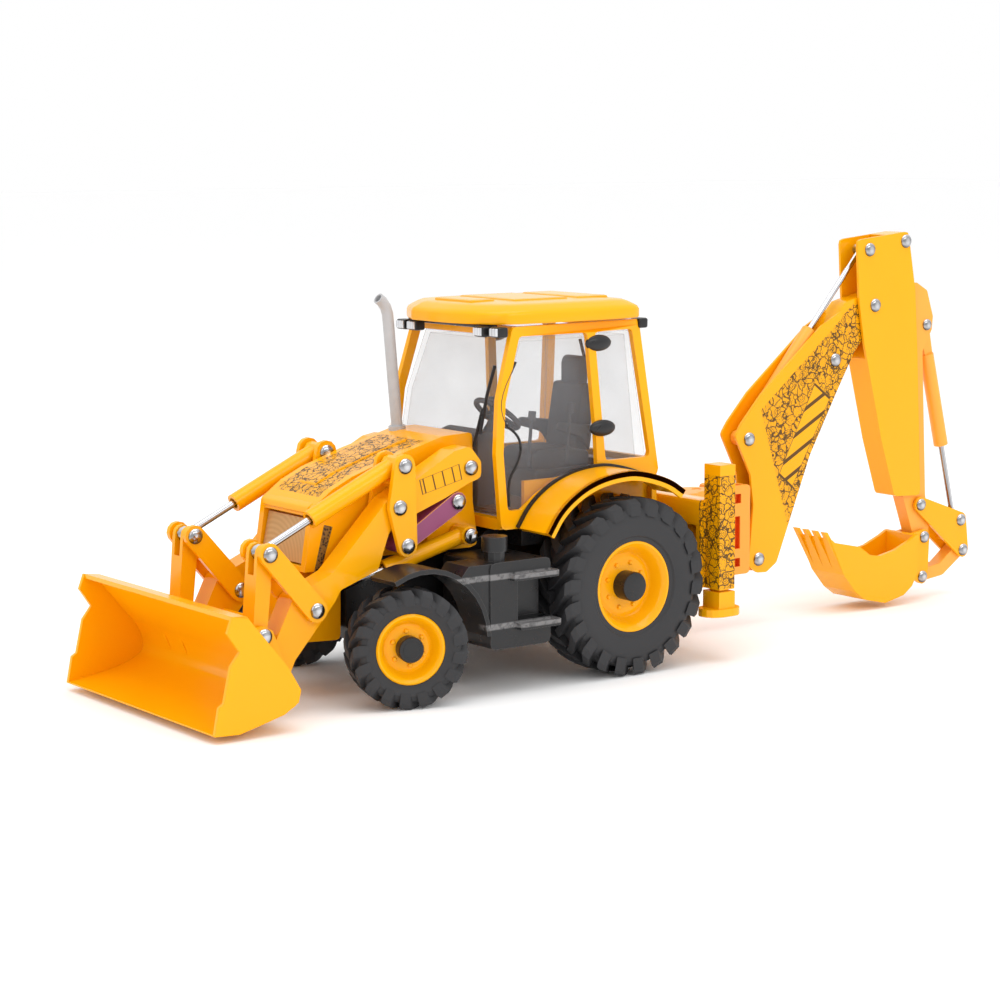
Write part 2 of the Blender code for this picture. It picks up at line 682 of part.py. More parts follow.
top_outline = rounded([(-25.2, 35.0), (-25.2, 42.2), (-35.8, 40.8), (-35.8, 35.0)], 1.0)
low_outline = rounded([(-25.2, 19.0), (-25.2, 24.0), (-35.8, 24.0), (-35.8, 19.0)], 1.0)
rear = plate(top_outline, -BEAM_REACH, BEAM_REACH)
low_beam = plate(low_outline, -BEAM_REACH, BEAM_REACH)
panel = box((-29.6, -BEAM_REACH, 20.0), (-28.0, BEAM_REACH, 40.0))
joined(rear, low_beam, panel)
for word, side in SIDES:
    joined(rear, box((-35.4, side * (BEAM_REACH - 1.6), 19.2), (-25.4, side * (BEAM_REACH + 0.2), 40.4)))
for word, side in SIDES:
    joined(rear, leg_box(HOUSING_HALF_X, HOUSING_HALF_Y, side, TUBE_FOOT, TUBE_TOP))
    room_x, room_y = HOUSING_HALF_X - HOUSING_WALL, HOUSING_HALF_Y - HOUSING_WALL
    cut(rear, leg_box(room_x, room_y, side, TUBE_FOOT - 9, TUBE_TOP - 1.4))
part("rear_frame", rear, "paint")
for word, side in SIDES:
    inset = HOUSING_WALL + GAP
    leg = leg_box(HOUSING_HALF_X - inset, HOUSING_HALF_Y - inset, side, FOOT_Z[1], LEG_TOP)
    shoe = leg_box(2.7, 3.2, side, FOOT_Z[1] - 0.2, TUBE_FOOT - 0.6)
    foot_plan = [((LEG_X - 1.8, side * LEG_Y), 4.0), ((LEG_X + 1.8, side * LEG_Y), 4.0)]
    foot = slab(rounded(hull(foot_plan, 16), 0.1, 1), *FOOT_Z)
    pivot = (LEG_X, side * LEG_Y, FOOT_Z[0])
    part(f"stabiliser_leg_{word}", joined(leg, shoe, foot), "paint", pivot=pivot)

# ---- Loader arms ----
arm_outline = rounded(
    [
        (37.2, 56.0), (40.5, 60.0), (45.0, 59.2), (64.8, 48.8), (80.9, 32.6), (91.6, 28.0),
        (99.6, 12.4), (98.0, 7.6), (94.0, 7.4), (91.4, 13.0), (80.1, 25.7), (78.4, 28.4),
        (67.8, 32.1), (64.4, 41.2), (56.7, 44.7), (48.1, 47.8), (41.0, 50.9), (37.2, 52.0),
    ],
    1.6,
)
arms = across(CROSS_TUBE, 2.4, -ARM_IN - 1, ARM_IN + 1)
for word, side in SIDES:
    arm = plate(arm_outline, side * ARM_IN, side * ARM_OUT)
    for pivot in (ARM_PIVOT, BUCKET_PIVOT):
        cut(arm, across(pivot, BORE_R, side * (ARM_IN - PAST), side * (ARM_OUT + PAST)))
    slot_start = along(LIFT_BASE, LIFT_TIP, 24.0)
    slot_end = along(LIFT_BASE, LIFT_TIP, 44.6)
    cut(arm, plate(hull([(slot_start, 3.0), (slot_end, 2.9)]), side * (ARM_IN + 1.4), side * (ARM_OUT - 1.4)))
    for pivot in (PLATE_PIVOT, LEVER_PIVOT):
        joined(arm, across(pivot, PIN_R, side * (CHEEK_IN + 0.1), side * (ARM_OUT + CHEEK), ROUND))
    joined(arms, arm)
part("loader_arms", arms, "paint", pivot=at(ARM_PIVOT))


def cheeks(outline, side, holes):
    """The inner and outer plates of a piece that straddles the arm."""
    inner = plate(outline, side * CHEEK_IN, side * (CHEEK_IN + CHEEK), holes)
    return inner, plate(outline, side * OUTER_IN, side * OUTER_OUT, holes)


for word, side in SIDES:
    y = side * LINKAGE_Y

    # The triangular plate, which keeps its angle as the arms rise.
    outline = hull([(PLATE_TOP, 3.0), (PLATE_PIVOT, 3.1), (PLATE_FOOT, 2.8)])
    inner, outer = cheeks(outline, side, [ring(PLATE_PIVOT, BORE_R)])
    bridge = along(PLATE_PIVOT, PLATE_TOP, 5.75)
    joined(inner, outer, across(bridge, 0.9, side * (CHEEK_IN + 0.2), side * (OUTER_OUT - 0.4)))
    part(f"tilt_plate_{word}", inner, "paint", pivot=at(PLATE_PIVOT, y))

    # The link below the arm, between the tower and the triangular plate.
    outline = hull([(LINK_PIVOT, 2.5), (PLATE_FOOT, 2.1)])
    link = plate(outline, side * (ARM_IN + 0.4), side * ARM_OUT, [ring(LINK_PIVOT, BORE_R)])
    part(f"levelling_link_{word}", link, "purple", pivot=at(LINK_PIVOT, y))

    # The ram that lifts the arms, and the one that tips the bucket.
    lift = barrel(LIFT_BASE, LIFT_TIP, y, LIFT_BARREL, LIFT_BARREL_R, RAM_BORE_R, 2.4, 2.7, BORE_R)
    part(f"lift_barrel_{word}", lift, "paint", pivot=at(LIFT_BASE, y))
    rod = ram_rod(LIFT_BASE, LIFT_TIP, y, 8.6, 1.1, 2.2, 1.2)
    part(f"lift_rod_{word}", rod, "chrome", pivot=at(LIFT_TIP, y))

    tilt = barrel(PLATE_TOP, LEVER_TOP, y, TILT_BARREL, TILT_BARREL_R, RAM_BORE_R, 2.2, 2.6, BORE_R)
    part(f"tilt_barrel_{word}", tilt, "paint", pivot=at(PLATE_TOP, y))
    pin = across(PLATE_TOP, PIN_R, side * (CHEEK_IN + CHEEK + GAP), side * (OUTER_IN - GAP))
    part(f"tilt_pin_{word}", pin, "chrome", pivot=at(PLATE_TOP, y))
    head = [at(along(PLATE_TOP, LEVER_TOP, d), y) for d in (10.2, 11.3)]
    part(f"tilt_piston_{word}", bar(*head, 1.2, segments=12), "steel", pivot=head[0])
    rod = ram_rod(PLATE_TOP, LEVER_TOP, y, 15.4, 0.95, 1.9, 1.0)
    part(f"tilt_rod_{word}", rod, "chrome", pivot=at(LEVER_TOP, y))

    # The lever that the tilt ram swings, and the link from it to the bucket.
    outline = hull([(LEVER_PIVOT, 2.9), (LEVER_TOP, 2.7)])
    inner, outer = cheeks(outline, side, [ring(LEVER_PIVOT, BORE_R)])
    bridge = along(LEVER_PIVOT, LEVER_TOP, 10.8)
    stubs = [
        across(LEVER_TOP, PIN_R, side * (CHEEK_IN + 0.5), y - side * 1.5),
        across(LEVER_TOP, PIN_R, y + side * 1.5, side * (OUTER_OUT - 0.5)),
    ]
    joined(inner, outer, across(bridge, 1.2, side * (CHEEK_IN + 0.2), side * (OUTER_OUT - 0.4)), *stubs)
    part(f"tilt_lever_{word}", inner, "paint", pivot=at(LEVER_PIVOT, y))

    outline = hull([(LEVER_TOP, 2.2), (BUCKET_LINK_PIN, 1.9)])
    link = plate(outline, side * (ARM_IN + 0.5), side * (ARM_OUT - 0.5), [ring(LEVER_TOP, BORE_R)])
    fork_end = hull([(along(BUCKET_LINK_PIN, LEVER_TOP, 15.5), 2.6), (LEVER_TOP, 4)])
    cut(link, plate(fork_end, y - 1.3, y + 1.3))
    part(f"bucket_link_{word}", link, "paint", pivot=at(LEVER_TOP, y))

# ---- Loader bucket ----
scoop = [
    (122.5, 1.9), (116.0, 1.6), (110.2, 3.2), (104.1, 4.8),
    (100.3, 7.1), (99.6, 9.8), (102.9, 15.4), (113.2, 27.6),
]
scoop_side = scoop + [(117.5, 28.8), (118.9, 25.0), (115.6, 19.9), (118.2, 17.2), (119.9, 8.6), (121.0, 8.0)]
scoop_void = [
    (124.5, 2.6), (116.2, 2.9), (110.7, 4.4), (104.9, 5.9), (101.6, 7.8), (101.1, 9.7), (104.0, 14.8),
    (114.5, 27.2), (117.0, 27.5), (121.0, 31.0), (130.0, 31.0), (130.0, 2.6),
]
bucket = plate(scoop_side, -LOADER_HALF, LOADER_HALF)
cut(bucket, plate(scoop_void, -LOADER_HALF + LOADER_WALL, LOADER_HALF - LOADER_WALL))
ear_outline = hull([(BUCKET_PIVOT, 2.6), (BUCKET_LINK_PIN, 2.4), ((106.8, 21.6), 0.8), ((101.2, 9.0), 0.8)])
for word, side in SIDES:
    for low in (CHEEK_IN, OUTER_IN):
        joined(bucket, plate(ear_outline, side * low, side * (low + CHEEK)))
    joined(bucket, across(BUCKET_PIVOT, PIN_R, side * (CHEEK_IN + 0.5), side * (OUTER_OUT - 0.5)))
part("loader_bucket", bucket, "paint", pivot=at(BUCKET_PIVOT))

# ---- Digger: side-shift carriage and slewing post ----
carriage = box((-41.0, -12.0, 17.0), (-36.2, 12.0, 40.6))
lug_outline = hull([((SLEW_X, 0), LUG_R), ((-40.5, 4.5), 0.5), ((-40.5, -4.5), 0.5)])
for low, high in (LUG_HIGH, LUG_LOW):
    lug = slab(lug_outline, low, high)
    joined(carriage, cut(lug, upright(SLEW_X, 0, BORE_R, low - PAST, high + PAST)))
part("shift_carriage", carriage, "plastic", pivot=(-38.6, 0, 29.0))

post_foot, post_top = LUG_LOW[1] + GAP, LUG_HIGH[0] - GAP
tongue_half = BOOM_HALF - BOOM_WALL - GAP - 0.1
post = upright(SLEW_X, 0, POST_R, post_foot, post_top, 24)
neck = box((-56.5, -4.0, post_foot), (SLEW_X, 4.0, post_top))
block_outline = rounded([(-55.2, 15.4), (-55.2, 40.2), (-65.2, 40.2), (-65.2, 15.4)], 1.2)
block = plate(block_outline, -POST_HALF, POST_HALF)
tongue_outline = hull([(BOOM_PIVOT, 3.4), ((-64.0, 32.0), 2.0), ((-64.0, 17.8), 2.0)])
tongue = plate(tongue_outline, -tongue_half, tongue_half)
pin = upright(SLEW_X, 0, PIN_R, LUG_LOW[0] + 0.2, LUG_HIGH[1] - 0.2)
joined(post, neck, block, tongue, pin)
for _, side in SIDES:
    for low, high, half in ((35.2, 37.8, 1.5), (22.6, 31.6, 1.2), (17.6, 20.0, 1.3)):
        cut(post, box((-60.4 - half, side * 3.4, low), (-60.4 + half, side * (POST_HALF + PAST), high)))
cut(post, across(BOOM_PIVOT, BORE_R, -POST_HALF, POST_HALF))
part("slew_post", post, "plastic", pivot=(SLEW_X, 0, 28.4))

# ---- Boom ----
boom_front = [
    (-66.4, 17.0), (-67.0, 24.0), (-67.9, 33.9), (-66.8, 42.4), (-63.2, 49.4), (-61.0, 53.6), (-63.4, 57.0),
]
boom_top = [(-70.6, 64.6), (-92.6, 82.2), (-106.6, 89.4)]
boom_back = [
    (-106.9, 76.6), (-99.0, 63.6), (-89.0, 46.3), (-81.5, 28.6), (-76.8, 17.0), (-73.0, 14.6), (-69.5, 14.8),
]
boom = plate(rounded(boom_front + boom_top + boom_back, 1.5), -BOOM_HALF, BOOM_HALF)
boom_gap = BOOM_HALF - BOOM_WALL
tip_outline = hull([(DIPPER_PIVOT, 3.6), ((-104.5, 84.5), 4.6), ((-101.5, 78.0), 6.0)])
tongue_tip = plate(tip_outline, -BOOM_TIP_HALF, BOOM_TIP_HALF)
inside = [
    (-60, 10), (-57, 53), (-66, 70), (-100, 96), (-103.5, 84.0),
    (-90.5, 62.0), (-85.6, 46.0), (-78.6, 30.0), (-78, 10),
]
cut(boom, plate(inside, -boom_gap, boom_gap))
joined(boom, tongue_tip)
for _, side in SIDES:
    cut(boom, across(DIPPER_PIVOT, BOOM_TIP_REACH, side * BOOM_TIP_HALF, side * (BOOM_HALF + 1), 28))
for pivot in (DIPPER_RAM_BASE, BOOM_PIVOT):
    joined(boom, across(pivot, PIN_R, GAP - BOOM_HALF, BOOM_HALF - GAP))
rod_way = plate(hull([((-90, 80.6), 2.8), ((-112, 105.6), 2.8)]), -2.6, 2.6)
cut(boom, rod_way, across(DIPPER_PIVOT, BORE_R, -DIPPER_HALF, DIPPER_HALF))
part("boom", boom, "paint", pivot=at(BOOM_PIVOT))

# ---- Dipper and its telescopic inner section ----
def slide_line(x_at_top, z):
    """A point on the leaning line that the inner dipper slides along."""
    return (x_at_top - (95.0 - z) * SLIDE_LEAN, z)


dipper_outline = rounded(
    [
        (-105.5, 105.9), (-125.6, 107.9), (-128.8, 91.0), (-130.1, 73.7), (-132.4, 31.2),
        (-121.8, 31.8), (-116.2, 48.5), (-108.7, 77.0), (-106.6, 89.0),
    ],
    1.5,
)
dipper = plate(dipper_outline, -DIPPER_HALF, DIPPER_HALF)
channel = [slide_line(-123.2, 97), (-140, 97), (-140, 20), slide_line(-123.2, 20)]
swing_room = [(-117.0, 109.0), (-96.0, 109.0), (-96.0, 64.0), (-109.0, 71.0), (-118.0, 82.0), (-118.4, 96.0)]
cut(dipper, plate(channel, -boom_gap, boom_gap), plate(swing_room, -DIPPER_GAP, DIPPER_GAP))
joined(dipper, across(DIPPER_PIVOT, PIN_R, -DIPPER_HALF + 0.2, DIPPER_HALF - 0.2, 10))
part("dipper", dipper, "paint", pivot=at(DIPPER_PIVOT))

inner_half = tongue_half
inner_outline = [slide_line(-123.6, 93), (-131.2, 93), (-135.4, 90.6), (-138.0, 83.0), (-137.6, 79.2)]
inner_outline += [(-134.0, 73.0), (-136.2, 31.0), (-138.0, 22.0), (-137.6, 17.6), (-134.9, 15.7)]
inner_outline += [(-132.0, 16.8), (-131.0, 20.6), slide_line(-123.6, 31)]
inner = plate(rounded(inner_outline, 1.0, 2), -inner_half, inner_half)
for pivot in (DIGGER_PIVOT, CRANK_PIVOT):
    cut(inner, across(pivot, BORE_R, -DIPPER_HALF, DIPPER_HALF))
cut(inner, plate(hull([(BUCKET_RAM_BASE, 2.6), ((-139.2, 66), 3.4), ((-144, 80), 3)]), -1.3, 1.3))
part("inner_dipper", inner, "plastic", pivot=at(BUCKET_RAM_BASE))

# ---- Digger rams ----
eye = DIGGER_BARREL_R
ram = barrel(
    DIPPER_RAM_BASE, DIPPER_RAM_TIP, 0, DIPPER_BARREL, DIGGER_BARREL_R, DIGGER_BORE_R, eye, eye, BORE_R
)
part("dipper_ram_barrel", ram, "plastic", pivot=at(DIPPER_RAM_BASE))
rod = ram_rod(DIPPER_RAM_BASE, DIPPER_RAM_TIP, 0, 24.0, DIGGER_ROD_R, 1.6, 1.6)
part("dipper_ram_rod", rod, "chrome", pivot=at(DIPPER_RAM_TIP))
neck = along(BUCKET_RAM_BASE, BUCKET_RAM_TIP, 9.0)
barrel_end = at(along(BUCKET_RAM_BASE, BUCKET_RAM_TIP, BUCKET_BARREL))
ram = bar(at(neck), barrel_end, DIGGER_BARREL_R, segments=ROUND)
joined(ram, plate(hull([(BUCKET_RAM_BASE, 2.0), (neck, 1.6)]), -1.0, 1.0))
bore = [at(along(BUCKET_RAM_BASE, BUCKET_RAM_TIP, d)) for d in (11.0, BUCKET_BARREL + 5)]
part("bucket_ram_barrel", cut(ram, bar(*bore, DIGGER_BORE_R)), "plastic", pivot=at(BUCKET_RAM_BASE))
rod = ram_rod(BUCKET_RAM_BASE, BUCKET_RAM_TIP, 0, 27.0, DIGGER_ROD_R, 1.7, 1.1)
part("bucket_ram_rod", rod, "chrome", pivot=at(BUCKET_RAM_TIP))

# ---- Digger bucket with its crank and link ----
outline = hull([(CRANK_PIVOT, 2.3), (BUCKET_RAM_TIP, 2.3), (CRANK_PIN, 2.3)])
crank = plate(outline, -BOOM_HALF, -CRANK_IN)
joined(crank, plate(outline, CRANK_IN, BOOM_HALF))
pin_reach = BOOM_HALF - GAP
for place, radius in (((-146.6, 17.2), 1.0), (CRANK_PIN, PIN_R), (CRANK_PIVOT, PIN_R)):
    joined(crank, across(place, radius, -pin_reach, pin_reach))
part("bucket_crank", crank, "paint", pivot=at(CRANK_PIVOT))
elbow = (-143.5, 8.0)
link_half = CRANK_IN - GAP
link = plate(hull([(CRANK_PIN, 2.1), (elbow, 1.9)]), -link_half, link_half, [ring(CRANK_PIN, BORE_R)])
joined(link, plate(hull([(elbow, 1.9), (DIGGER_LINK_PIN, 1.9)]), -link_half, link_half))
part("tipping_link", link, "plastic", pivot=at(CRANK_PIN))

digger_side = rounded(
    [
        (-93.6, 22.9), (-96.0, 21.0), (-105.8, 18.9), (-109.9, 16.1), (-113.8, 15.5),
        (-119.8, 16.6), (-125.8, 18.9), (-129.6, 20.8), (-129.2, 9.4), (-127.0, 5.4),
        (-123.6, 3.0), (-116.2, 1.5), (-108.2, 3.3), (-104.4, 5.9), (-99.6, 11.4),
    ],
    0.8,
)
digger_void = [
    (-94.6, 24.0), (-100.6, 12.4), (-105.4, 7.0), (-109.0, 4.6), (-116.2, 2.8), (-123.0, 4.2), (-126.0, 6.4),
    (-128.0, 9.9), (-128.2, 24.0),
]
digger = plate(digger_side, -DIGGER_HALF, DIGGER_HALF)
cut(digger, plate(digger_void, -DIGGER_HALF + DIGGER_WALL, DIGGER_HALF - DIGGER_WALL))
ear_outline = hull(
    [(DIGGER_PIVOT, 2.2), (DIGGER_LINK_PIN, 2.2), ((-128.4, 8.6), 0.5), ((-128.8, 19.4), 0.5)]
)
for _, side in SIDES:
    joined(digger, plate(ear_outline, side * CRANK_IN, side * (CRANK_IN + DIGGER_WALL)))
joined(digger, across(DIGGER_PIVOT, PIN_R, -pin_reach, pin_reach))
tooth = [(-100.2, 10.6), (-101.0, 12.8), (-93.2, 24.2), (-91.8, 24.4)]
tooth_reach = DIGGER_HALF - TOOTH_HALF - 0.15
for i in range(TEETH):
    y = -tooth_reach + i * 2 * tooth_reach / (TEETH - 1)
    joined(digger, plate(tooth, y - TOOTH_HALF, y + TOOTH_HALF))
part("digger_bucket", digger, "paint", pivot=at(DIGGER_PIVOT))
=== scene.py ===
"""Toy backhoe loader: finishes, fine pieces, studio and camera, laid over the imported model."""
import json
import math

import bmesh
import bpy
from mathutils import Matrix, Vector


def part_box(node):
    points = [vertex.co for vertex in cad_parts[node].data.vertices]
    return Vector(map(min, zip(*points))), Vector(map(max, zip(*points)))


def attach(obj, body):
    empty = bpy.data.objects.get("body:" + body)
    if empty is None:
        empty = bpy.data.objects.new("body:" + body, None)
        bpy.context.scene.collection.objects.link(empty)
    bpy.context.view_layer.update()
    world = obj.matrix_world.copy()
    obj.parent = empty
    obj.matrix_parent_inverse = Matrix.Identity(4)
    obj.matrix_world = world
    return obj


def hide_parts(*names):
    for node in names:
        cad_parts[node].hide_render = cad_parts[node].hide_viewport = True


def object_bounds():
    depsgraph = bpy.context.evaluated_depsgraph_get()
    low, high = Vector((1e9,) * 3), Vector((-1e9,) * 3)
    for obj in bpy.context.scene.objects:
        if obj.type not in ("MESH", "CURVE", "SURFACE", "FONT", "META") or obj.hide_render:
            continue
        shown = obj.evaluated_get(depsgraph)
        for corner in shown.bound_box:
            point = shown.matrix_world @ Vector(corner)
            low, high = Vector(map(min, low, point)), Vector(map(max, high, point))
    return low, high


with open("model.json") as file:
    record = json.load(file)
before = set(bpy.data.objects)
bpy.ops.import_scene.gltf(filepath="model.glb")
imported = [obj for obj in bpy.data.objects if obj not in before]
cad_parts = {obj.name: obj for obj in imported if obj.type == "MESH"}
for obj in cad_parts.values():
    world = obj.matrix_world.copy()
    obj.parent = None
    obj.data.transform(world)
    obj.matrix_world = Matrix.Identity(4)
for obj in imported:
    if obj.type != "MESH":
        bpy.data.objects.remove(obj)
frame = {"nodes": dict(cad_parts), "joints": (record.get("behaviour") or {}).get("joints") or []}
cad_box = [[float(v) for v in corner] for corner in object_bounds()]
nodes = frame["nodes"]
front_axis = next(joint["axis"] for joint in frame["joints"] if joint["name"] == "front_spin_left")
pivot = {joint["name"]: Vector(joint["pos_m"]) for joint in frame["joints"] if "pos_m" in joint}

# ---- Studio ----
# A pale sweep under even overhead light, with one long box on each side so that the enamel
# shows soft bands. The machine stands on the sweep and everything else is left plain.
low, high = Vector(cad_box[0]), Vector(cad_box[1])
middle = (low + high) / 2
MM = 0.001


def lamp(name, place, aim, size, power):
    data = bpy.data.lights.new(name, "AREA")
    data.shape = "RECTANGLE"
    data.size, data.size_y = size
    data.energy = power
    made = bpy.data.objects.new(name, data)
    made.location = middle + Vector(place)
    made.rotation_euler = (Vector(place) - Vector(aim)).to_track_quat("Z", "Y").to_euler()
    bpy.context.scene.collection.objects.link(made)


lamp("overhead_box", (0.05, 0.1, 0.75), (0, 0, 0), (0.9, 0.4), 2.4)
lamp("front_box", (0.8, 0.35, 0.4), (0, 0, 0), (0.25, 0.6), 0.5)
lamp("side_box", (-0.1, 0.9, 0.5), (-0.02, 0, 0), (0.8, 0.2), 1.5)

sky = bpy.data.worlds.new("studio")
sky.use_nodes = True
sky.node_tree.nodes["Background"].inputs["Color"].default_value = (1, 1, 1, 1)
sky.node_tree.nodes["Background"].inputs["Strength"].default_value = 1.0
bpy.context.scene.world = sky
bpy.context.scene.view_settings.view_transform = "Standard"

camera_data = bpy.data.cameras.new("camera")
camera_data.lens = 91.02
camera_data.sensor_width = 36.0
camera = bpy.data.objects.new("camera", camera_data)
azimuth, elevation, roll = math.radians(36.15), math.radians(8.06), math.radians(-0.24)
aim = Vector((middle.x + 31.92 * MM, middle.y, low.z + 42.3 * MM))
back = Vector((
    math.sin(azimuth) * math.cos(elevation),
    math.cos(azimuth) * math.cos(elevation),
    math.sin(elevation),
))
camera.location = aim + back * 0.65125
camera.rotation_mode = "QUATERNION"
camera.rotation_quaternion = back.to_track_quat("Z", "Y") @ Matrix.Rotation(roll, 3, "Z").to_quaternion()
camera_data.clip_start = 0.01
bpy.context.scene.collection.objects.link(camera)
bpy.context.scene.camera = camera


# ---- Enamel ----
# The loader, bonnet, cab frame, roof, boom, dipper and buckets are zinc castings sprayed with a
# thick amber gloss. It pools a little, goes thin and darker on edges, and is pad-printed in places.
class Value:
    """A socket in a material. Arithmetic on it adds Math nodes."""

    def __init__(self, finish, socket):
        self.finish, self.socket = finish, socket

    def math(self, operation, *terms, clamp=False):
        settings = {"operation": operation, "use_clamp": clamp}
        return self.finish.add("ShaderNodeMath", settings, dict(enumerate(terms)))

    def __add__(self, other):
        return self.math("ADD", self, other)

    def __radd__(self, other):
        return self.math("ADD", other, self)

    def __sub__(self, other):
        return self.math("SUBTRACT", self, other)

    def __rsub__(self, other):
        return self.math("SUBTRACT", other, self)

    def __mul__(self, other):
        return self.math("MULTIPLY", self, other)

    def __rmul__(self, other):
        return self.math("MULTIPLY", other, self)

    def __truediv__(self, other):
        return self.math("DIVIDE", self, other)

    def __abs__(self):
        return self.math("ABSOLUTE", self)

    def least(self, other):
        return self.math("MINIMUM", self, other)

    def most(self, other):
        return self.math("MAXIMUM", self, other)

    def above(self, level, soft):
        """0 below this level and 1 above it, over a ramp this wide."""
        return self.math("ADD", (self - (level - soft / 2)) / soft, 0.0, clamp=True)

    def fraction(self):
        return self.math("FRACT", self)

    def sine(self):
        return self.math("SINE", self)

    def root(self):
        return self.math("SQRT", self)


class Finish:
    """One material: a Principled shader, its fixed values, and what varies over the surface."""

    def __init__(self, name, colour, **fixed):
        self.material = bpy.data.materials.new(name)
        self.material.use_nodes = True
        self.tree = self.material.node_tree
        self.shader = self.tree.nodes["Principled BSDF"]
        self.colour = (*colour, 1)
        self.shader.inputs["Base Color"].default_value = self.colour
        for socket, value in fixed.items():
            self.shader.inputs[socket.replace("_", " ")].default_value = value

    def add(self, kind, settings=(), inputs=(), output=0):
        node = self.tree.nodes.new(kind)
        for key, value in dict(settings).items():
            setattr(node, key, value)
        for key, value in dict(inputs).items():
            if isinstance(value, Value):
                self.tree.links.new(value.socket, node.inputs[key])
            else:
                node.inputs[key].default_value = value
        return Value(self, node.outputs[output])

    def feed(self, socket, value):
        self.tree.links.new(value.socket, self.shader.inputs[socket])

    def place(self):
        """Where a point is, in millimetres in the machine's own frame."""
        point = self.add("ShaderNodeTexCoord", output="Object")
        return self.add("ShaderNodeVectorMath", {"operation": "SCALE"}, {0: point, "Scale": 1000.0})

    def noise(self, where, scale, detail=3.0, roughness=0.5):
        inputs = {"Vector": where, "Scale": scale, "Detail": detail, "Roughness": roughness}
        return self.add("ShaderNodeTexNoise", (), inputs)

    def blend(self, amount, first, second):
        inputs = {0: amount, 6: first, 7: second}
        return self.add("ShaderNodeMix", {"data_type": "RGBA"}, inputs, output=2)

    def axes(self, where):
        node = self.add("ShaderNodeSeparateXYZ", (), {0: where}).socket.node
        return [Value(self, socket) for socket in node.outputs]

    def bump(self, height, distance_mm, strength=1.0):
        inputs = {"Height": height, "Distance": distance_mm * MM, "Strength": strength}
        self.feed("Normal", self.add("ShaderNodeBump", (), inputs))

    def edges(self, radius_mm):
        """1 on the rounding of an edge and 0 on a flat face."""
        worn = self.add("ShaderNodeBevel", {"samples": 4}, {"Radius": radius_mm * MM})
        flat = self.add("ShaderNodeNewGeometry", output="Normal")
        product = {"operation": "DOT_PRODUCT"}
        facing = self.add("ShaderNodeVectorMath", product, {0: worn, 1: flat}, output="Value")
        return (1.0 - facing).above(0.06, 0.1)


AMBER = (0.95, 0.42, 0.001)
INK = (0.018, 0.012, 0.006)


def line_print(finish, where):
    """A close mesh of wandering ink lines, loops and small rings."""
    bent = finish.noise(where, 0.55, 2.0)
    drift = finish.add("ShaderNodeTexNoise", (), {"Vector": where, "Scale": 0.6}, output=1)
    shift = finish.add("ShaderNodeVectorMath", {"operation": "SCALE"}, {0: drift, "Scale": 2.2})
    moved = finish.add("ShaderNodeVectorMath", {"operation": "ADD"}, {0: where, 1: shift})
    borders = {"feature": "DISTANCE_TO_EDGE"}
    cells = finish.add("ShaderNodeTexVoronoi", borders, {"Vector": moved, "Scale": 0.42})
    outlines = 1.0 - cells.above(0.06, 0.04)
    waves = (bent * 13.0).fraction()
    contours = 1.0 - abs(waves - 0.5).above(0.10, 0.06)
    round_cells = finish.add("ShaderNodeTexVoronoi", {"feature": "F1"}, {"Vector": where, "Scale": 0.31})
    rings = (round_cells * 6.5).fraction()
    ringed = (1.0 - abs(rings - 0.5).above(0.13, 0.06)) * (1.0 - round_cells.above(0.52, 0.05))
    return outlines.most(contours * 0.8).most(ringed)


def inside(finish, u, v, corners, soft=0.15):
    """1 inside a convex outline given anticlockwise as (u, v) in millimetres."""
    area = None
    for (u0, v0), (u1, v1) in zip(corners, corners[1:] + corners[:1]):
        length = math.hypot(u1 - u0, v1 - v0)
        reach = (v - v0) * ((u1 - u0) / length) - (u - u0) * ((v1 - v0) / length)
        area = reach if area is None else area.least(reach)
    return area.above(0.0, soft)


def enamel(name, colour=AMBER, printed=None):
    gloss = {"Roughness": 0.25, "Coat_Weight": 0.12, "Coat_Roughness": 0.05, "Specular_IOR_Level": 0.22}
    finish = Finish(name, colour, **gloss)
    where = finish.place()
    pooled = finish.noise(where, 0.06, 2.0)
    deeper = (colour[0] * 0.98, colour[1] * 0.93, colour[2] * 0.8, 1)
    base = finish.blend(pooled.above(0.5, 0.5) * 0.35, finish.colour, deeper)
    worn = finish.edges(0.35)
    base = finish.blend(worn * 0.35, base, (colour[0] * 0.86, colour[1] * 0.80, 0.004, 1))
    if printed:
        ink = printed(finish, where)
        base = finish.blend(ink * 0.9, base, (*INK, 1))
        finish.feed("Roughness", 0.2 + ink * 0.25)
    else:
        finish.feed("Roughness", 0.17 + finish.noise(where, 0.5, 4.0) * 0.12)
    finish.feed("Base Color", base)
    finish.bump(finish.noise(where, 1.1, 2.0), 0.05, 0.35)
    return finish.material


def dress(node, material, width=0.0, segments=2):
    """Gives a node its finish and, where its edges are soft, a rounding."""
    obj = nodes[node]
    obj.data.materials.clear()
    obj.data.materials.append(material)
    weld = obj.modifiers.new("weld", "WELD")
    weld.merge_threshold = 0.00001
    if width:
        faces = obj.modifiers.new("faces", "DECIMATE")
        faces.decimate_type = "DISSOLVE"
        faces.angle_limit = math.radians(1.0)
    round_off(obj, width, segments)


def round_off(obj, width, segments=2):
    """Rounds an object's edges by this many millimetres and shades it softly between creases."""
    if width:
        rounding = obj.modifiers.new("rounding", "BEVEL")
        rounding.width = width * MM
        rounding.segments = segments
        rounding.limit_method = "ANGLE"
        rounding.angle_limit = math.radians(32)
    creases = obj.modifiers.new("creases", "EDGE_SPLIT")
    creases.split_angle = math.radians(36)
    obj.modifiers.new("shading", "WEIGHTED_NORMAL")


def keep_sides(finish, where, beyond):
    """1 on faces further out than this many millimetres from the middle plane."""
    return abs(finish.axes(where)[1]).above(beyond, 0.1)


AXLE = sum(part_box("rear_axle"), Vector()) / 2


def spot(x, z, y=0.0):
    """A side-view place in millimetres, x measured forward of the rear axle."""
    return Vector((AXLE.x / MM + x, y, z))


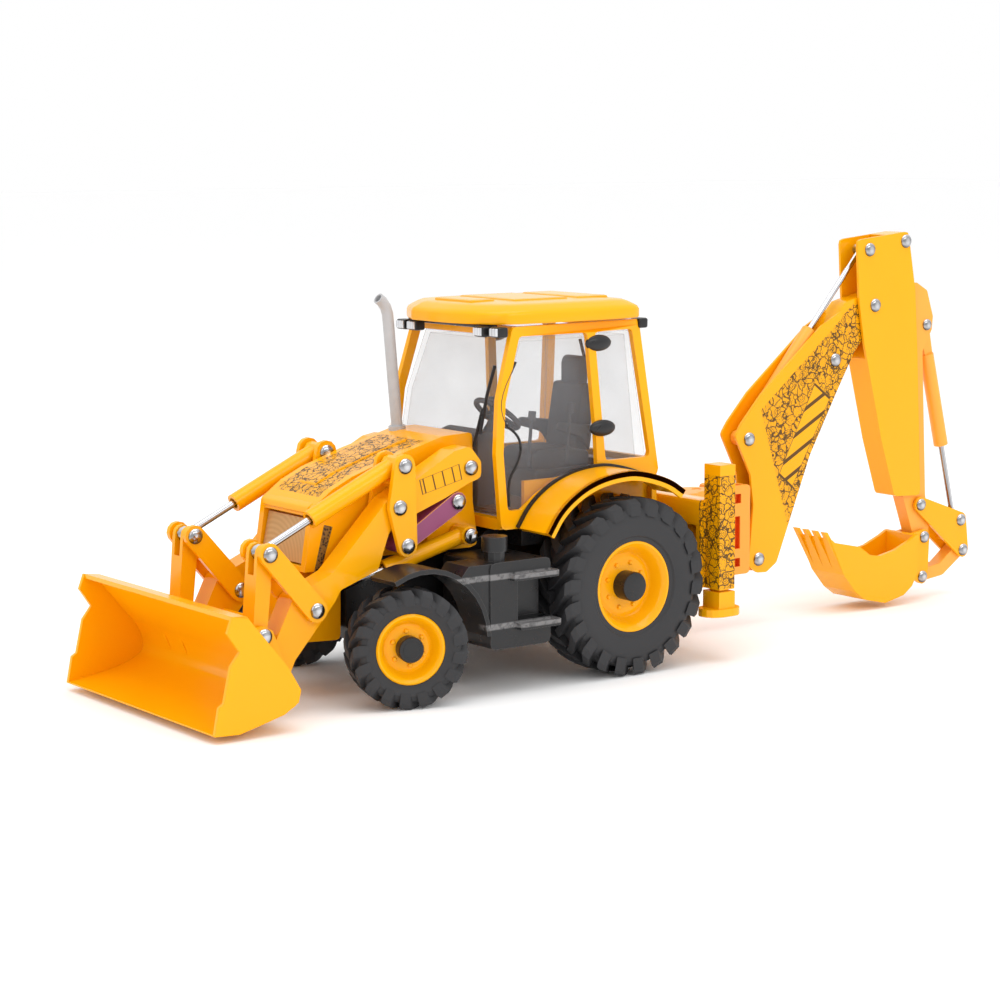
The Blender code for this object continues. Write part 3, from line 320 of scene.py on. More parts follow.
def framed(finish, u, v, corners, line):
    """A plain panel, as the whole of it and as what lies inside its border line."""
    whole = inside(finish, u, v, corners)
    middle_u = sum(c[0] for c in corners) / 4
    middle_v = sum(c[1] for c in corners) / 4
    inner = []
    for cu, cv in corners:
        reach = math.hypot(cu - middle_u, cv - middle_v)
        inner.append((cu - (cu - middle_u) * line / reach, cv - (cv - middle_v) * line / reach))
    return whole, inside(finish, u, v, inner)


def boom_print(finish, where):
    x, _, z = finish.axes(where)
    u = x - AXLE.x / MM
    field = inside(finish, u, z, [(-70.4, 60.2), (-108, 90), (-115, 80), (-84, 17)])
    whole, inner = framed(finish, u, z, [(-82.2, 37.5), (-77.2, 41.5), (-90.5, 66.5), (-96.5, 62.0)], 0.7)
    bars = ((u * 0.47 + z * 0.88) * 0.22).fraction()
    panel = whole - inner * abs(bars - 0.5).above(0.12, 0.03)
    ink = line_print(finish, where) * (1.0 - whole) + panel.most(0.0)
    return ink * field * keep_sides(finish, where, 2.75)


def arm_print(finish, where):
    x, _, z = finish.axes(where)
    u = x - AXLE.x / MM
    whole, inner = framed(finish, u, z, [(42.9, 52.0), (54.8, 49.2), (55.7, 52.9), (43.8, 55.9)], 0.35)
    bars = ((u * 0.97 - z * 0.25) * 0.34).fraction()
    panel = (whole - inner * abs(bars - 0.5).above(0.07, 0.03)).most(0.0)
    return panel * keep_sides(finish, where, 20.4)


def tube_print(finish, where):
    _, y, z = finish.axes(where)
    height = z.above(19.3, 0.3) * (1.0 - z.above(48.6, 0.3))
    return line_print(finish, where) * height * abs(y).above(29.95, 0.1)


def hood_print(finish, where):
    x, y, _ = finish.axes(where)
    facing = finish.add("ShaderNodeNewGeometry", output="True Normal")
    upward = finish.axes(facing)[2].above(0.75, 0.1)
    u = x - AXLE.x / MM
    area = (1.0 - abs(y).above(9.7, 0.2)) * u.above(46.5, 0.2) * (1.0 - u.above(77.5, 0.2))
    return line_print(finish, where) * area * upward


plain_enamel = enamel("amber_enamel")
hood_enamel = enamel("hood_enamel", printed=hood_print)
arm_enamel = enamel("arm_enamel", printed=arm_print)
boom_enamel = enamel("boom_enamel", printed=boom_print)
frame_enamel = enamel("rear_frame_enamel", printed=tube_print)
for name, width in (("cab_frame", 0.3), ("dipper", 0.45), ("digger_bucket", 0.3), ("bucket_crank", 0.3)):
    dress(name, plain_enamel, width)
for word in ("left", "right"):
    for name in ("stabiliser_leg", "tilt_plate", "tilt_lever", "bucket_link", "tilt_barrel"):
        dress(f"{name}_{word}", plain_enamel, 0.35)
    dress(f"lift_barrel_{word}", plain_enamel, 0.25)
dress("loader_arms", arm_enamel, 0.5)
dress("boom", boom_enamel, 0.4)
dress("rear_frame", frame_enamel, 0.5)
dress("bonnet", hood_enamel, 0.8, 3)

# ---- Orange-yellow plastic ----
# The slewing post, its carriage, the digger's ram barrels, the sliding inner dipper and the
# tipping link are moulded in a satin plastic a little redder than the enamel.
def moulded(name, colour, recess_shade=None):
    finish = Finish(name, colour, Roughness=0.35, Specular_IOR_Level=0.45)
    where = finish.place()
    tone = finish.noise(where, 0.12, 2.0)
    base = finish.blend(tone * 0.3, finish.colour, (colour[0] * 0.95, colour[1] * 0.86, colour[2] * 0.8, 1))
    # Painted shade: where the recess mask lies, the colour turns a deep red that stands for the shade inside
    # deep pockets.
    if recess_shade:
        base = finish.blend(recess_shade(finish, where), base, (0.78, 0.10, 0.004, 1))
    finish.feed("Base Color", base)
    finish.feed("Roughness", 0.28 + finish.noise(where, 1.4, 4.0) * 0.16)
    finish.bump(finish.noise(where, 2.6, 3.0), 0.03, 0.5)
    return finish.material


# Painted shade: a strip across the post where its deep pockets are, darkened as the shade inside them.
def post_pocket_shade(finish, where):
    x, y, _ = finish.axes(where)
    u = x - AXLE.x / MM
    return (1.0 - abs(y).above(4.7, 0.3)) * u.above(-62.3, 0.2) * (1.0 - u.above(-58.6, 0.2))


orange_plastic = moulded("orange_plastic", (0.96, 0.40, 0.04))
post_plastic = moulded("post_plastic", (0.96, 0.37, 0.035), post_pocket_shade)
for name in ("shift_carriage", "inner_dipper", "tipping_link", "dipper_ram_barrel", "bucket_ram_barrel"):
    dress(name, orange_plastic, 0.25)
dress("slew_post", post_plastic, 0.4)

# ---- Plated and bare steel ----
# Rods, rivets and the tie rod: bright plating with finger marks. The dark band that a studio's far
# side makes in bright metal is part of the colour here, by which way the surface faces.
def plated(name, colour, roughness):
    finish = Finish(name, colour, Metallic=1.0, Roughness=roughness)
    where = finish.place()
    smudge = finish.noise(where, 0.9, 4.0, 0.6)
    facing = finish.axes(finish.add("ShaderNodeNewGeometry", output="Normal"))
    # Painted reflection: upright faces not turned to the sides take a dark band. Painted shade: faces turned
    # downward go dark.
    band = (1.0 - abs(facing[2] - 0.05).above(0.42, 0.7)) * (1.0 - abs(facing[1]).above(0.985, 0.06))
    shade = (band * 0.8).most(1.0 - facing[2].above(-0.3, 0.5))
    finish.feed("Roughness", roughness + smudge * 0.16)
    finish.feed("Base Color", finish.blend(shade, finish.colour, (*[c * 0.22 for c in colour], 1)))
    finish.bump(finish.noise(where, 6.0, 2.0), 0.01, 0.3)
    return finish.material


chrome = plated("chrome", (0.72, 0.72, 0.74), 0.08)
steel = plated("bare_steel", (0.55, 0.55, 0.56), 0.25)
for name in nodes:
    if name.startswith(("lift_rod", "tilt_rod", "dipper_ram_rod", "bucket_ram_rod", "tilt_pin")):
        dress(name, chrome)
    if name.startswith(("tie_rod", "tilt_piston")):
        dress(name, steel)

# ---- Black plastic ----
# The chassis, tanks, steps and front mudguards are glossy black plastic, scuffed grey on the treads.
def black_plastic(name, scuffed=False):
    finish = Finish(name, (0.010, 0.010, 0.011), Roughness=0.22, Specular_IOR_Level=0.4)
    where = finish.place()
    cloud = finish.noise(where, 0.35, 4.0, 0.6)
    base = finish.blend(cloud * 0.5, finish.colour, (0.02, 0.02, 0.021, 1))
    if scuffed:
        _, y, z = finish.axes(where)
        upper = 1.0 - abs(z - 29.5).above(0.7, 0.3)
        lower = 1.0 - abs(z - 17.3).above(0.7, 0.3)
        tread = upper.most(lower) * abs(y).above(31.5, 2.0)
        rub = tread * finish.noise(where, 0.5, 5.0, 0.65).above(0.42, 0.2)
        base = finish.blend(rub * 0.6, base, (0.30, 0.29, 0.29, 1))
        base = finish.blend(finish.edges(0.3) * 0.25, base, (0.22, 0.21, 0.21, 1))
    finish.feed("Base Color", base)
    finish.feed("Roughness", 0.2 + cloud * 0.2)
    finish.bump(finish.noise(where, 2.2, 3.0), 0.03, 0.4)
    return finish.material


black = black_plastic("black_plastic")
scuffed_black = black_plastic("scuffed_black_plastic", True)
dress("chassis", black, 0.4)
dress("side_moulding", scuffed_black, 0.45)
for name in ("rear_axle", "steering_knuckle_left", "steering_knuckle_right"):
    dress(name, black, 0.25)

# ---- Purple levelling links ----
# A printed purple face on each link; the casting's amber enamel shows along its edges.
purple = Finish("purple_link", (0.26, 0.035, 0.125), Roughness=0.3, Coat_Weight=0.3)
where = purple.place()
tone = purple.noise(where, 0.25, 3.0)
base = purple.blend(tone * 0.4, purple.colour, (0.33, 0.06, 0.17, 1))
purple.feed("Base Color", purple.blend(purple.edges(0.45), base, (*AMBER, 1)))
purple.feed("Roughness", 0.25 + tone * 0.15)
for word in ("left", "right"):
    dress(f"levelling_link_{word}", purple.material, 0.3)

# ---- Exhaust and grille ----
# The stack is matt grey plastic; the grille is a bronze foil with brushed, concentric arcs.
grey = Finish("exhaust_grey", (0.52, 0.52, 0.53), Roughness=0.5, Metallic=0.2)
where = grey.place()
soot = grey.noise(where, 0.4, 4.0, 0.6)
grey.feed("Base Color", grey.blend(soot * 0.5, grey.colour, (0.38, 0.37, 0.37, 1)))
grey.feed("Roughness", 0.4 + soot * 0.2)
grey.bump(grey.noise(where, 3.0, 3.0), 0.04, 0.4)
dress("exhaust", grey.material, 0.2)

bronze = Finish("bronze_foil", (0.60, 0.36, 0.14), Roughness=0.38, Metallic=0.35)
where = bronze.place()
_, y, z = bronze.axes(where)
reach = ((y + 6.0) * (y + 6.0) + (z - 30.0) * (z - 30.0)).root()
arcs = (reach * 5.0).sine() * 0.5 + 0.5
bronze.feed("Base Color", bronze.blend(arcs * 0.35, bronze.colour, (0.42, 0.24, 0.09, 1)))
bronze.feed("Roughness", 0.3 + arcs * 0.2)
bronze.bump(arcs, 0.03, 0.5)
dress("grille", bronze.material)

# ---- Glazing ----
# One clear moulding, a little grey in its thickness and slightly hazed.
glass = Finish("clear_moulding", (0.42, 0.43, 0.46), Roughness=0.05, Alpha=0.1, IOR=1.45)
where = glass.place()
haze = glass.noise(where, 0.08, 3.0)
glass.feed("Alpha", 0.07 + haze * 0.1 + glass.edges(0.5) * 0.35)
glass.feed("Roughness", 0.04 + haze * 0.05)
dress("cab_glass", glass.material)


# ---- Tyres ----
# Black rubber, a smooth casing with two rows of raised bars that sweep back from the middle and
# fold over the shoulders. Each stands in for its CAD ring and turns with its wheel.
UP = Vector((0, 0, 1))
TURN = 2 * math.pi
RING = 96  # sides of a wheel
STEER = math.atan2(front_axis[0], front_axis[1])
SWEEP = 0.34  # how far a tyre bar leans back, in radians around the wheel


def solid(name, bm, material, body, replaced=(), rounding=0.0):
    """Makes a piece from a bmesh in millimetres and sets it riding on its body."""
    bmesh.ops.recalc_face_normals(bm, faces=bm.faces)
    bmesh.ops.transform(bm, matrix=Matrix.Scale(MM, 4), verts=bm.verts)
    mesh = bpy.data.meshes.new(name)
    bm.to_mesh(mesh)
    bm.free()
    mesh.shade_smooth()
    mesh.materials.append(material)
    made = bpy.data.objects.new(name, mesh)
    bpy.context.scene.collection.objects.link(made)
    round_off(made, rounding)
    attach(made, body)
    if replaced:
        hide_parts(*replaced)
    return made


def wheel_point(place, axis):
    """A function from (radius, angle, offset along the axis) to a point on a wheel."""
    forward = axis.cross(UP)
    return lambda r, angle, h: place + (forward * math.cos(angle) + UP * math.sin(angle)) * r + axis * h


def skin(bm, rings, closed):
    """Joins rows of points into a surface; each row is a closed ring, and the rows close too if asked."""
    rows = [[bm.verts.new(p) for p in row] for row in rings]
    pairs = list(zip(rows, rows[1:] + rows[:1])) if closed else list(zip(rows, rows[1:]))
    for first, second in pairs:
        for i in range(len(first)):
            j = (i + 1) % len(first)
            bm.faces.new((first[i], first[j], second[j], second[i]))
    if not closed:
        bm.faces.new(rows[0])
        bm.faces.new(rows[-1])


def tyre(word, kind, radius, half, bead, bars, depth, body):
    """A casing with two rows of bars; bead is its inner radius and depth the height of a bar."""
    place = sum(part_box(f"{kind}_tyre_{word}"), Vector()) / 2 / MM
    axis = Vector((0, 1, 0)) if kind == "rear" else Vector((math.sin(STEER), math.cos(STEER), 0))
    point = wheel_point(place, axis)
    casing = radius - depth
    wall = [(bead, 0.70), (bead + 0.3, 0.82), (bead + 1.3, 0.84), (bead + 1.7, 0.90)]
    wall += [((bead + casing) / 2 + 0.5, 0.96)]
    wall += [(casing - 1.9, 0.94), (casing - 0.7, 0.86), (casing, 0.66), (casing + 0.2, 0.2)]
    profile = [(r, share * half) for r, share in wall] + [(r, -share * half) for r, share in reversed(wall)]
    bm = bmesh.new()
    angles = [TURN * i / RING for i in range(RING)]
    skin(bm, [[point(r, a, h) for a in angles] for r, h in profile], True)
    across = [(-0.05, radius - 0.25, casing - 0.5, 0.8), (0.3, radius, casing - 0.5, 0.8)]
    across += [(0.62, radius, casing - 0.5, 0.9)]
    across += [(0.88, radius - 0.15, casing - 1.5, 1.05), (0.98, radius - 1.3, casing - 2.0, 1.1)]
    across += [(1.0, radius - 1.6, casing - 2.4, 1.0)]
    width = math.pi / bars * 0.46
    for row in (-1, 1):
        for i in range(bars):
            start = (i + 0.25 * row) * 2 * math.pi / bars
            rows = []
            for share, top, foot, spread in across:
                middle_angle = start + SWEEP * share * share ** 0.3 if share > 0 else start
                h = row * share * half
                rows.append([
                    point(foot, middle_angle - width * spread * 1.25, h),
                    point(top, middle_angle - width * spread, h),
                    point(top, middle_angle + width * spread, h),
                    point(foot, middle_angle + width * spread * 1.25, h),
                ])
            skin(bm, rows, False)
    solid(f"{kind}_tyre_{word}_treaded", bm, rubber.material, body, [f"{kind}_tyre_{word}"])


rubber = Finish("rubber", (0.020, 0.020, 0.022), Roughness=0.55, Specular_IOR_Level=0.4)
where = rubber.place()
dust = rubber.noise(where, 0.25, 5.0, 0.65)
rubber.feed("Base Color", rubber.blend(dust * 0.5, rubber.colour, (0.045, 0.045, 0.048, 1)))
rubber.feed("Roughness", 0.42 + dust * 0.3)
rubber.bump(rubber.noise(where, 3.0, 4.0, 0.6), 0.04, 0.5)
for word in ("left", "right"):
    tyre(word, "rear", 22.65, 7.25, 11.3, 22, 2.1, f"rear_wheel_{word}")
    tyre(word, "front", 14.55, 4.65, 8.4, 17, 1.5, f"front_wheel_{word}")

# ---- Rims and hub caps ----
# Pressed rims in the same enamel: a rolled flange, a two-step dish and a ring of nut heads, with a
# plain black cap at the rear and a ringed one at the front.
def rim(word, kind, scale, cap, nuts):
    place = sum(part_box(f"{kind}_tyre_{word}"), Vector()) / 2 / MM
    side = 1 if word == "left" else -1
    axis = Vector((0, side, 0)) if kind == "rear" else Vector((math.sin(STEER), math.cos(STEER), 0)) * side
    point = wheel_point(place, axis)
    face, seat = scale
    dish = [(0.67, 0.40), (0.71, 0.36), (0.78, 0.33), (0.84, 0.42), (0.93, 0.82), (0.99, 0.95)]
    flange = [(1.05, 1.06), (1.10, 1.06), (1.145, 0.98), (1.14, 0.84), (1.02, 0.78)]
    rear_flange = [(1.0, -0.8), (1.14, -0.9), (1.13, -1.0), (0.98, -1.0), (0.9, -0.25)]
    loop = [(1.9, 0.40)]
    loop += [(seat * radial, share) for radial, share in dish + flange + rear_flange]
    loop += [(1.9, -0.25)]
    bm = bmesh.new()
    angles = [TURN * i / RING for i in range(RING)]
    skin(bm, [[point(r, a, share * face) for a in angles] for r, share in loop], True)
    for i in range(nuts):
        angle = 2 * math.pi * (i + 0.4) / nuts
        centre = point(seat * 0.56, angle, 0.40 * face)
        nut = wheel_point(centre, axis)
        heads = [(0.62, -0.2), (0.62, 0.35), (0.42, 0.55)]
        skin(bm, [[nut(r, math.pi / 3 * k, h) for k in range(6)] for r, h in heads], False)
    body = f"{kind}_wheel_{word}"
    solid(f"{kind}_rim_{word}_pressed", bm, plain_enamel, body, [f"{kind}_rim_{word}"])
    bm = bmesh.new()
    skin(bm, [[point(r, a, h) for a in angles] for r, h in cap], False)
    solid(f"{kind}_hub_cap_{word}", bm, black, body)


rear_cap = [(3.7, 2.0), (3.75, 6.1), (3.55, 6.45), (3.2, 6.55), (0.4, 6.55)]
front_cap = [(3.1, 1.2), (3.15, 4.3), (2.95, 4.6), (2.6, 4.62)]
front_cap += [(2.5, 4.4), (2.25, 4.4), (2.1, 4.66), (0.4, 4.7)]
for word in ("left", "right"):
    rim(word, "rear", (5.6, 10.4), rear_cap, 8)
    rim(word, "front", (3.9, 7.5), front_cap, 6)

# ---- Rivets ----
# Bright domed rivet heads close every pin, on both faces of each linkage and along the digger.
def rivets(body, places, face, radius=1.95, inner_face=None):
    """Domes on both sides of the machine, standing on faces this far from its middle plane."""
    bm = bmesh.new()
    for place in places:
        for side in (-1, 1):
            for reach, way in ((face, side), (inner_face, -side)):
                if reach is None:
                    continue
                centre = Vector((place.x, side * reach, place.z))
                point = wheel_point(centre, Vector((0, way, 0)))
                rows = [(radius, -0.3), (radius, 0.12)]
                dome = (0.35, 0.7, 1.0, 1.25, 1.45)
                rows += [(radius * math.cos(t), 0.12 + 0.85 * math.sin(t)) for t in dome]
                skin(bm, [[point(r, 2 * math.pi * k / 24, h) for k in range(24)] for r, h in rows], False)
    solid(f"{body}_rivets", bm, chrome, body)


def pin(joint):
    return pivot[joint] / MM


LINK_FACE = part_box("tilt_plate_left")[1].y / MM
LINK_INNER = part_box("tilt_plate_left")[0].y / MM
BOOM_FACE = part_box("boom")[1].y / MM
DIPPER_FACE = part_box("dipper")[1].y / MM
rivets("tilt_plates", [pin("tilt_pin_pivot"), spot(60.2, 37.4)], LINK_FACE, inner_face=LINK_INNER)
rivets("arms", [pin("tilt_plate_pivot"), pin("tilt_lever_pivot")], LINK_FACE, inner_face=LINK_INNER)
rivets("tilt_levers", [pin("bucket_link_pivot")], LINK_FACE, inner_face=LINK_INNER)
rivets("loader_bucket", [pin("loader_tilt"), spot(100.6, 20.0)], LINK_FACE, inner_face=LINK_INNER)
rivets("tractor", [pin("loader_lift"), pin("levelling_pivot"), pin("lift_ram_pivot")], 20.95)
rivets("boom", [pin("boom_lift"), pin("dipper_ram_pivot"), spot(-98.2, 72.5)], BOOM_FACE)
rivets("dipper", [pin("dipper_swing"), spot(-110.4, 103.1), spot(-124.6, 105.1)], DIPPER_FACE)
rivets("inner_dipper", [pin("bucket_ram_pivot")], 2.1, 1.7)
rivets("bucket_crank", [pin("crank_pivot"), pin("tipping_link_pivot"), spot(-150.1, 22.3)], BOOM_FACE, 1.8)
rivets("digger_bucket", [pin("digger_curl"), spot(-134.2, 7.0)], 3.5, 1.8)

# ---- Loader bucket ----
# One curved sheet from the lip up to the back edge, closed by two thin notched end plates, with the
# linkage ears behind. It stands in for the CAD bucket and tips with it.
def softened(points, rounds=3):
    """The open line with its corners cut again and again until it curves."""
    for _ in range(rounds):
        made = [points[0]]
        for a, b in zip(points, points[1:]):
            made += [tuple(Vector(a).lerp(Vector(b), t)) for t in (0.25, 0.75)]
        points = made + [points[-1]]
    return points


def extrude(bm, outline, y_from, y_to):
    """A side-view outline, in millimetres from the rear axle, made solid between two Y values."""
    rows = [[spot(x, z, y) for x, z in outline] for y in (y_from, y_to)]
    skin(bm, rows, False)


BUCKET_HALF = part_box("loader_bucket")[1].y / MM
lip = [(122.5, 1.9), (116.0, 1.6), (110.2, 3.0), (104.1, 4.6)]
outer = lip + [(99.8, 6.4), (99.4, 10.2), (102.9, 15.4), (113.2, 27.9)]
inner = [(122.5, 2.3), (113.0, 3.6), (105.5, 5.4), (101.0, 8.0), (102.6, 13.6), (106.5, 18.2), (114.6, 27.9)]
rim_fold = [(113.0, 28.2), (112.6, 26.8), (114.0, 26.6), (117.2, 27.6), (117.2, 28.7)]
ear = [(93.9, 10.0), (94.7, 7.9), (96.5, 7.4), (101.0, 8.4)]
ear += [(105.4, 19.4), (105.6, 21.4), (100.6, 22.4), (98.4, 21.2)]
ends = lip + [(100.3, 6.9), (99.6, 9.8), (102.9, 15.4), (113.2, 27.9)]
ends += [(117.3, 28.7), (118.7, 25.0), (115.6, 20.4), (118.0, 17.4), (119.9, 9.2), (121.2, 8.4)]
bm = bmesh.new()
extrude(bm, softened(outer) + softened(inner)[::-1], -BUCKET_HALF + 0.6, BUCKET_HALF - 0.6)
extrude(bm, rim_fold, -BUCKET_HALF + 0.6, BUCKET_HALF - 0.6)
for side in (-1, 1):
    extrude(bm, ends, side * (BUCKET_HALF - 1.1), side * BUCKET_HALF)
    for near in (LINK_INNER, LINK_FACE - 1.4):
        extrude(bm, ear, side * near, side * (near + 1.4))
solid("loader_bucket_pressed", bm, plain_enamel, "loader_bucket", ["loader_bucket"], 0.3)

# ---- Bonnet fittings ----
# A raised strip down the middle of the bonnet, a lip over the grille, and dark mesh slots on the
# sides behind it.
top_line = [(47.5, 60.6), (57, 57.95), (69, 54.05), (74.6, 51.4)]
bm = bmesh.new()
extrude(bm, top_line + [(x, z - 1.0) for x, z in reversed(top_line)], -3.6, 3.6)
bmesh.ops.transform(bm, matrix=Matrix.Translation((0, 0, 0.45)), verts=bm.verts)
extrude(bm, [(79.3, 48.3), (80.9, 47.3), (81.4, 45.9), (80.2, 45.4), (78.6, 46.6)], -10.4, 10.4)
solid("bonnet_strip", bm, hood_enamel, "tractor", (), 0.35)

mesh_dark = Finish("side_mesh", (0.10, 0.055, 0.012), Roughness=0.5)
where = mesh_dark.place()
holes = mesh_dark.add("ShaderNodeTexVoronoi", {"feature": "F1"}, {"Vector": where, "Scale": 1.6})
hole_shade, wire = (0.02, 0.012, 0.004, 1), (0.22, 0.12, 0.02, 1)
# Painted shade: the mesh openings are not cut, and near-black spots stand for the shade seen through them.
mesh_dark.feed("Base Color", mesh_dark.blend(holes.above(0.45, 0.2), hole_shade, wire))
mesh_dark.bump(holes, 0.15, 0.8)
bm = bmesh.new()
for side in (-1, 1):
    extrude(bm, [(77.4, 42.9), (75.0, 42.2), (78.7, 31.2), (81.4, 27.8)], side * 11.2, side * 12.05)
solid("bonnet_mesh_slots", bm, mesh_dark.material, "tractor", (), 0.15)

# ---- Exhaust ----
# A matt grey pipe, leaning a little, bent outward at the top and open at the end.
def tube(bm, points, radius, bore=0.0, steps=24):
    """A round pipe along a line of points, hollow at its far end if it has a bore."""
    rows = []
    for i, here in enumerate(points):
        way = (points[min(i + 1, len(points) - 1)] - points[max(i - 1, 0)]).normalized()
        across = way.cross(Vector((0, 1, 0))).normalized()
        rows.append((here, across, way.cross(across), radius))
    if bore:
        end, across, over, _ = rows[-1]
        inward = (points[-2] - points[-1]).normalized()
        rows += [(end, across, over, bore), (end + inward * 2.5, across, over, bore)]
    turns = [2 * math.pi * k / steps for k in range(steps)]
    skin(bm, [[p + (a * math.cos(t) + o * math.sin(t)) * r for t in turns] for p, a, o, r in rows], False)


line = [(42.0, 61.5), (43.2, 75.0), (44.3, 88.0), (44.6, 91.0), (45.2, 92.7), (46.3, 94.2), (47.4, 95.0)]
bm = bmesh.new()
tube(bm, [spot(x, z, -9.0) for x, z in line], 1.45, 1.05)
tube(bm, [spot(42.0, 61.2, -9.0), spot(42.1, 62.6, -9.0)], 2.2)
solid("exhaust_pipe", bm, grey.material, "tractor", ["exhaust"])

# ---- Cab interior ----
# Dark grey moulded seat with a headrest, a dash with a column and a thin-rimmed wheel, side
# consoles with levers, and a brown floor tray.
trim = Finish("cab_trim", (0.035, 0.036, 0.040), Roughness=0.6)
where = trim.place()
grain = trim.noise(where, 1.2, 5.0, 0.6)
trim.feed("Base Color", trim.blend(grain * 0.6, trim.colour, (0.07, 0.072, 0.08, 1)))
trim.feed("Roughness", 0.45 + grain * 0.3)
trim.bump(grain, 0.1, 0.6)
bm = bmesh.new()
extrude(bm, [(-8.5, 42.0), (-8.5, 50.5), (10.5, 50.5), (11.5, 42.0)], -7.5, 7.5)
extrude(bm, [(-7.5, 50.2), (-7.5, 54.0), (-2.0, 55.4), (9.0, 55.6), (11.4, 54.0), (11.5, 50.2)], -7.0, 7.0)
extrude(bm, [(-7.6, 54.0), (-9.6, 69.0), (-8.6, 71.5), (-5.6, 71.5), (-3.6, 60.0), (-3.0, 54.0)], -6.6, 6.6)
extrude(bm, [(-9.4, 70.6), (-10.0, 77.0), (-9.0, 78.4), (-6.8, 78.4), (-6.0, 76.6), (-6.0, 70.6)], -3.8, 3.8)
extrude(bm, [(24.5, 42.0), (22.0, 58.5), (26.0, 62.0), (29.9, 60.8), (30.0, 42.0)], -9.0, 9.0)
for side in (-1, 1):
    extrude(bm, [(-6.0, 54.0), (-7.0, 61.0), (4.0, 62.4), (5.0, 60.4), (-3.0, 58.0)], side * 7.4, side * 9.2)
solid("seat_and_dash", bm, trim.material, "tractor", ["cab_interior"], 0.9)
bm = bmesh.new()
hub = spot(17.2, 64.6)
lean_way = Vector((-0.62, 0, 0.78))
lean_across = lean_way.cross(Vector((0, 1, 0)))
ring_line = [hub + (lean_across * math.cos(t) + Vector((0, 1, 0)) * math.sin(t)) * 6.2
             for t in (2 * math.pi * k / 40 for k in range(40))]
rows = []
for k, here in enumerate(ring_line):
    out = (here - hub).normalized()
    turns = [math.pi / 4 * q for q in range(8)]
    rows.append([here + (out * math.cos(t) + lean_way * math.sin(t)) * 0.75 for t in turns])
skin(bm, rows, True)
tube(bm, [spot(24.5, 55.0), hub], 1.2)
for t in (0.5, 2.6, 4.7):
    spoke = hub + (lean_across * math.cos(t) + Vector((0, 1, 0)) * math.sin(t)) * 6.2
    tube(bm, [hub, spoke], 0.6, steps=8)
for x, y, top in ((12.0, -9.6, 66.0), (9.0, -11.2, 65.0), (14.0, 10.4, 64.0), (2.0, 10.8, 65.5)):
    tube(bm, [spot(x + 1.2, 52.0, y), spot(x, top, y)], 0.45, steps=10)
    tube(bm, [spot(x, top - 0.6, y), spot(x - 0.3, top + 2.0, y)], 1.0, steps=12)
solid("steering_wheel", bm, trim.material, "tractor")
tray = Finish("brown_tray", (0.16, 0.065, 0.018), Roughness=0.35)
where = tray.place()
tray.feed("Base Color", tray.blend(tray.noise(where, 0.3, 4.0), tray.colour, (0.07, 0.03, 0.012, 1)))
bm = bmesh.new()
extrude(bm, [(-9.0, 41.9), (-9.0, 43.0), (30.0, 43.0), (30.0, 41.9)], -18.0, 18.0)
extrude(bm, [(-13.0, 42.0), (-13.0, 52.0), (-9.2, 52.0), (-9.2, 42.0)], -18.0, 18.0)
solid("floor_tray", bm, tray.material, "tractor", (), 0.4)

# ---- Roof fittings ----
# A rounded roof shell with shallow raised panels, black lamp pods under its front and rear corners
# with clear lenses, and a bar across behind the windscreen.
bm = bmesh.new()
roof_foot, roof_top = (corner.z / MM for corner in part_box("cab_roof"))
for x0, x1, half in ((-9.5, 0.5, 12.0), (3.5, 20.5, 12.0), (23.5, 31.0, 8.0)):
    rows = []
    for z, inset in ((roof_top - 0.9, 0.0), (roof_top + 0.1, 0.1), (roof_top + 0.3, 0.8)):
        rows.append([spot(x, z, y) for x, y in ((x0 + inset, -half + inset), (x1 - inset, -half + inset),
                                                (x1 - inset, half - inset), (x0 + inset, half - inset))])
    skin(bm, rows, False)
solid("roof_panels", bm, plain_enamel, "tractor", (), 0.25)
plan = [(37.4, -9.0), (37.4, 9.0), (32.0, 20.0), (27.0, 22.7), (-9.0, 22.7), (-15.6, 19.0)]
plan += [(x, -y) for x, y in reversed(plan[2:])]
plan = softened(plan + plan[:1], 3)[1:-1]
bm = bmesh.new()
rows = []
for rise, share in ((0.0, 0.97), (0.0, 0.99), (0.4, 1.0), (2.2, 1.0), (3.0, 0.985), (3.5, 0.955), (4.3, 0.90),
                    (4.7, 0.86), (4.9, 0.78), (5.1, 0.5)):
    rows.append([spot(10.9 + (x - 10.9) * share, roof_foot + rise, y * share) for x, y in plan])
skin(bm, rows, False)
solid("roof_shell", bm, plain_enamel, "tractor", ["cab_roof"])
pods, lenses = bmesh.new(), bmesh.new()
lens = Finish("lamp_lens", (0.75, 0.77, 0.80), Roughness=0.08, Metallic=0.4)
where = lens.place()
ribs = lens.axes(where)[1]
ribbed = (ribs * 6.0).sine() * 0.5 + 0.5
lens.feed("Base Color", lens.blend(ribbed * 0.5, lens.colour, (0.42, 0.43, 0.46, 1)))
lens.bump(ribbed, 0.1, 0.8)
front_pods = [(33.6, 16.6, 1), (32.2, 21.4, 1), (33.6, -12.4, 1), (33.6, -17.4, 1)]
rear_pods = [(-15.6, 17.0, -1), (-15.6, -17.0, -1)]
for x, y, way in front_pods + rear_pods:
    extrude(pods, [(x - 1.5, 86.2), (x - 1.5, 88.8), (x + 1.5, 88.8), (x + 1.5, 86.2)], y - 2.0, y + 2.0)
    front = x + way * 1.4
    raised = front + way * 0.5
    extrude(lenses, [(front, 86.5), (front, 88.5), (raised, 88.4), (raised, 86.6)], y - 1.6, y + 1.6)
extrude(pods, [(30.6, 88.0), (30.6, 89.2), (31.8, 89.2), (31.8, 88.0)], -19.0, 19.0)
solid("lamp_pods", pods, black, "tractor", (), 0.5)
solid("lamp_lenses", lenses, lens.material, "tractor", (), 0.15)

# ---- Rear mudguards ----
# One curved sheet over each rear wheel, thicker along its outer edge, with a black seal where it
# meets the cab.
crest = [(28.4, 39.0), (24.6, 44.6), (18.4, 49.0), (12.1, 51.4)]
crest += [(5.5, 52.4), (-0.6, 52.4), (-10.4, 49.6), (-15.7, 46.1)]
wheel_middle = Vector((2.0, 22.0))


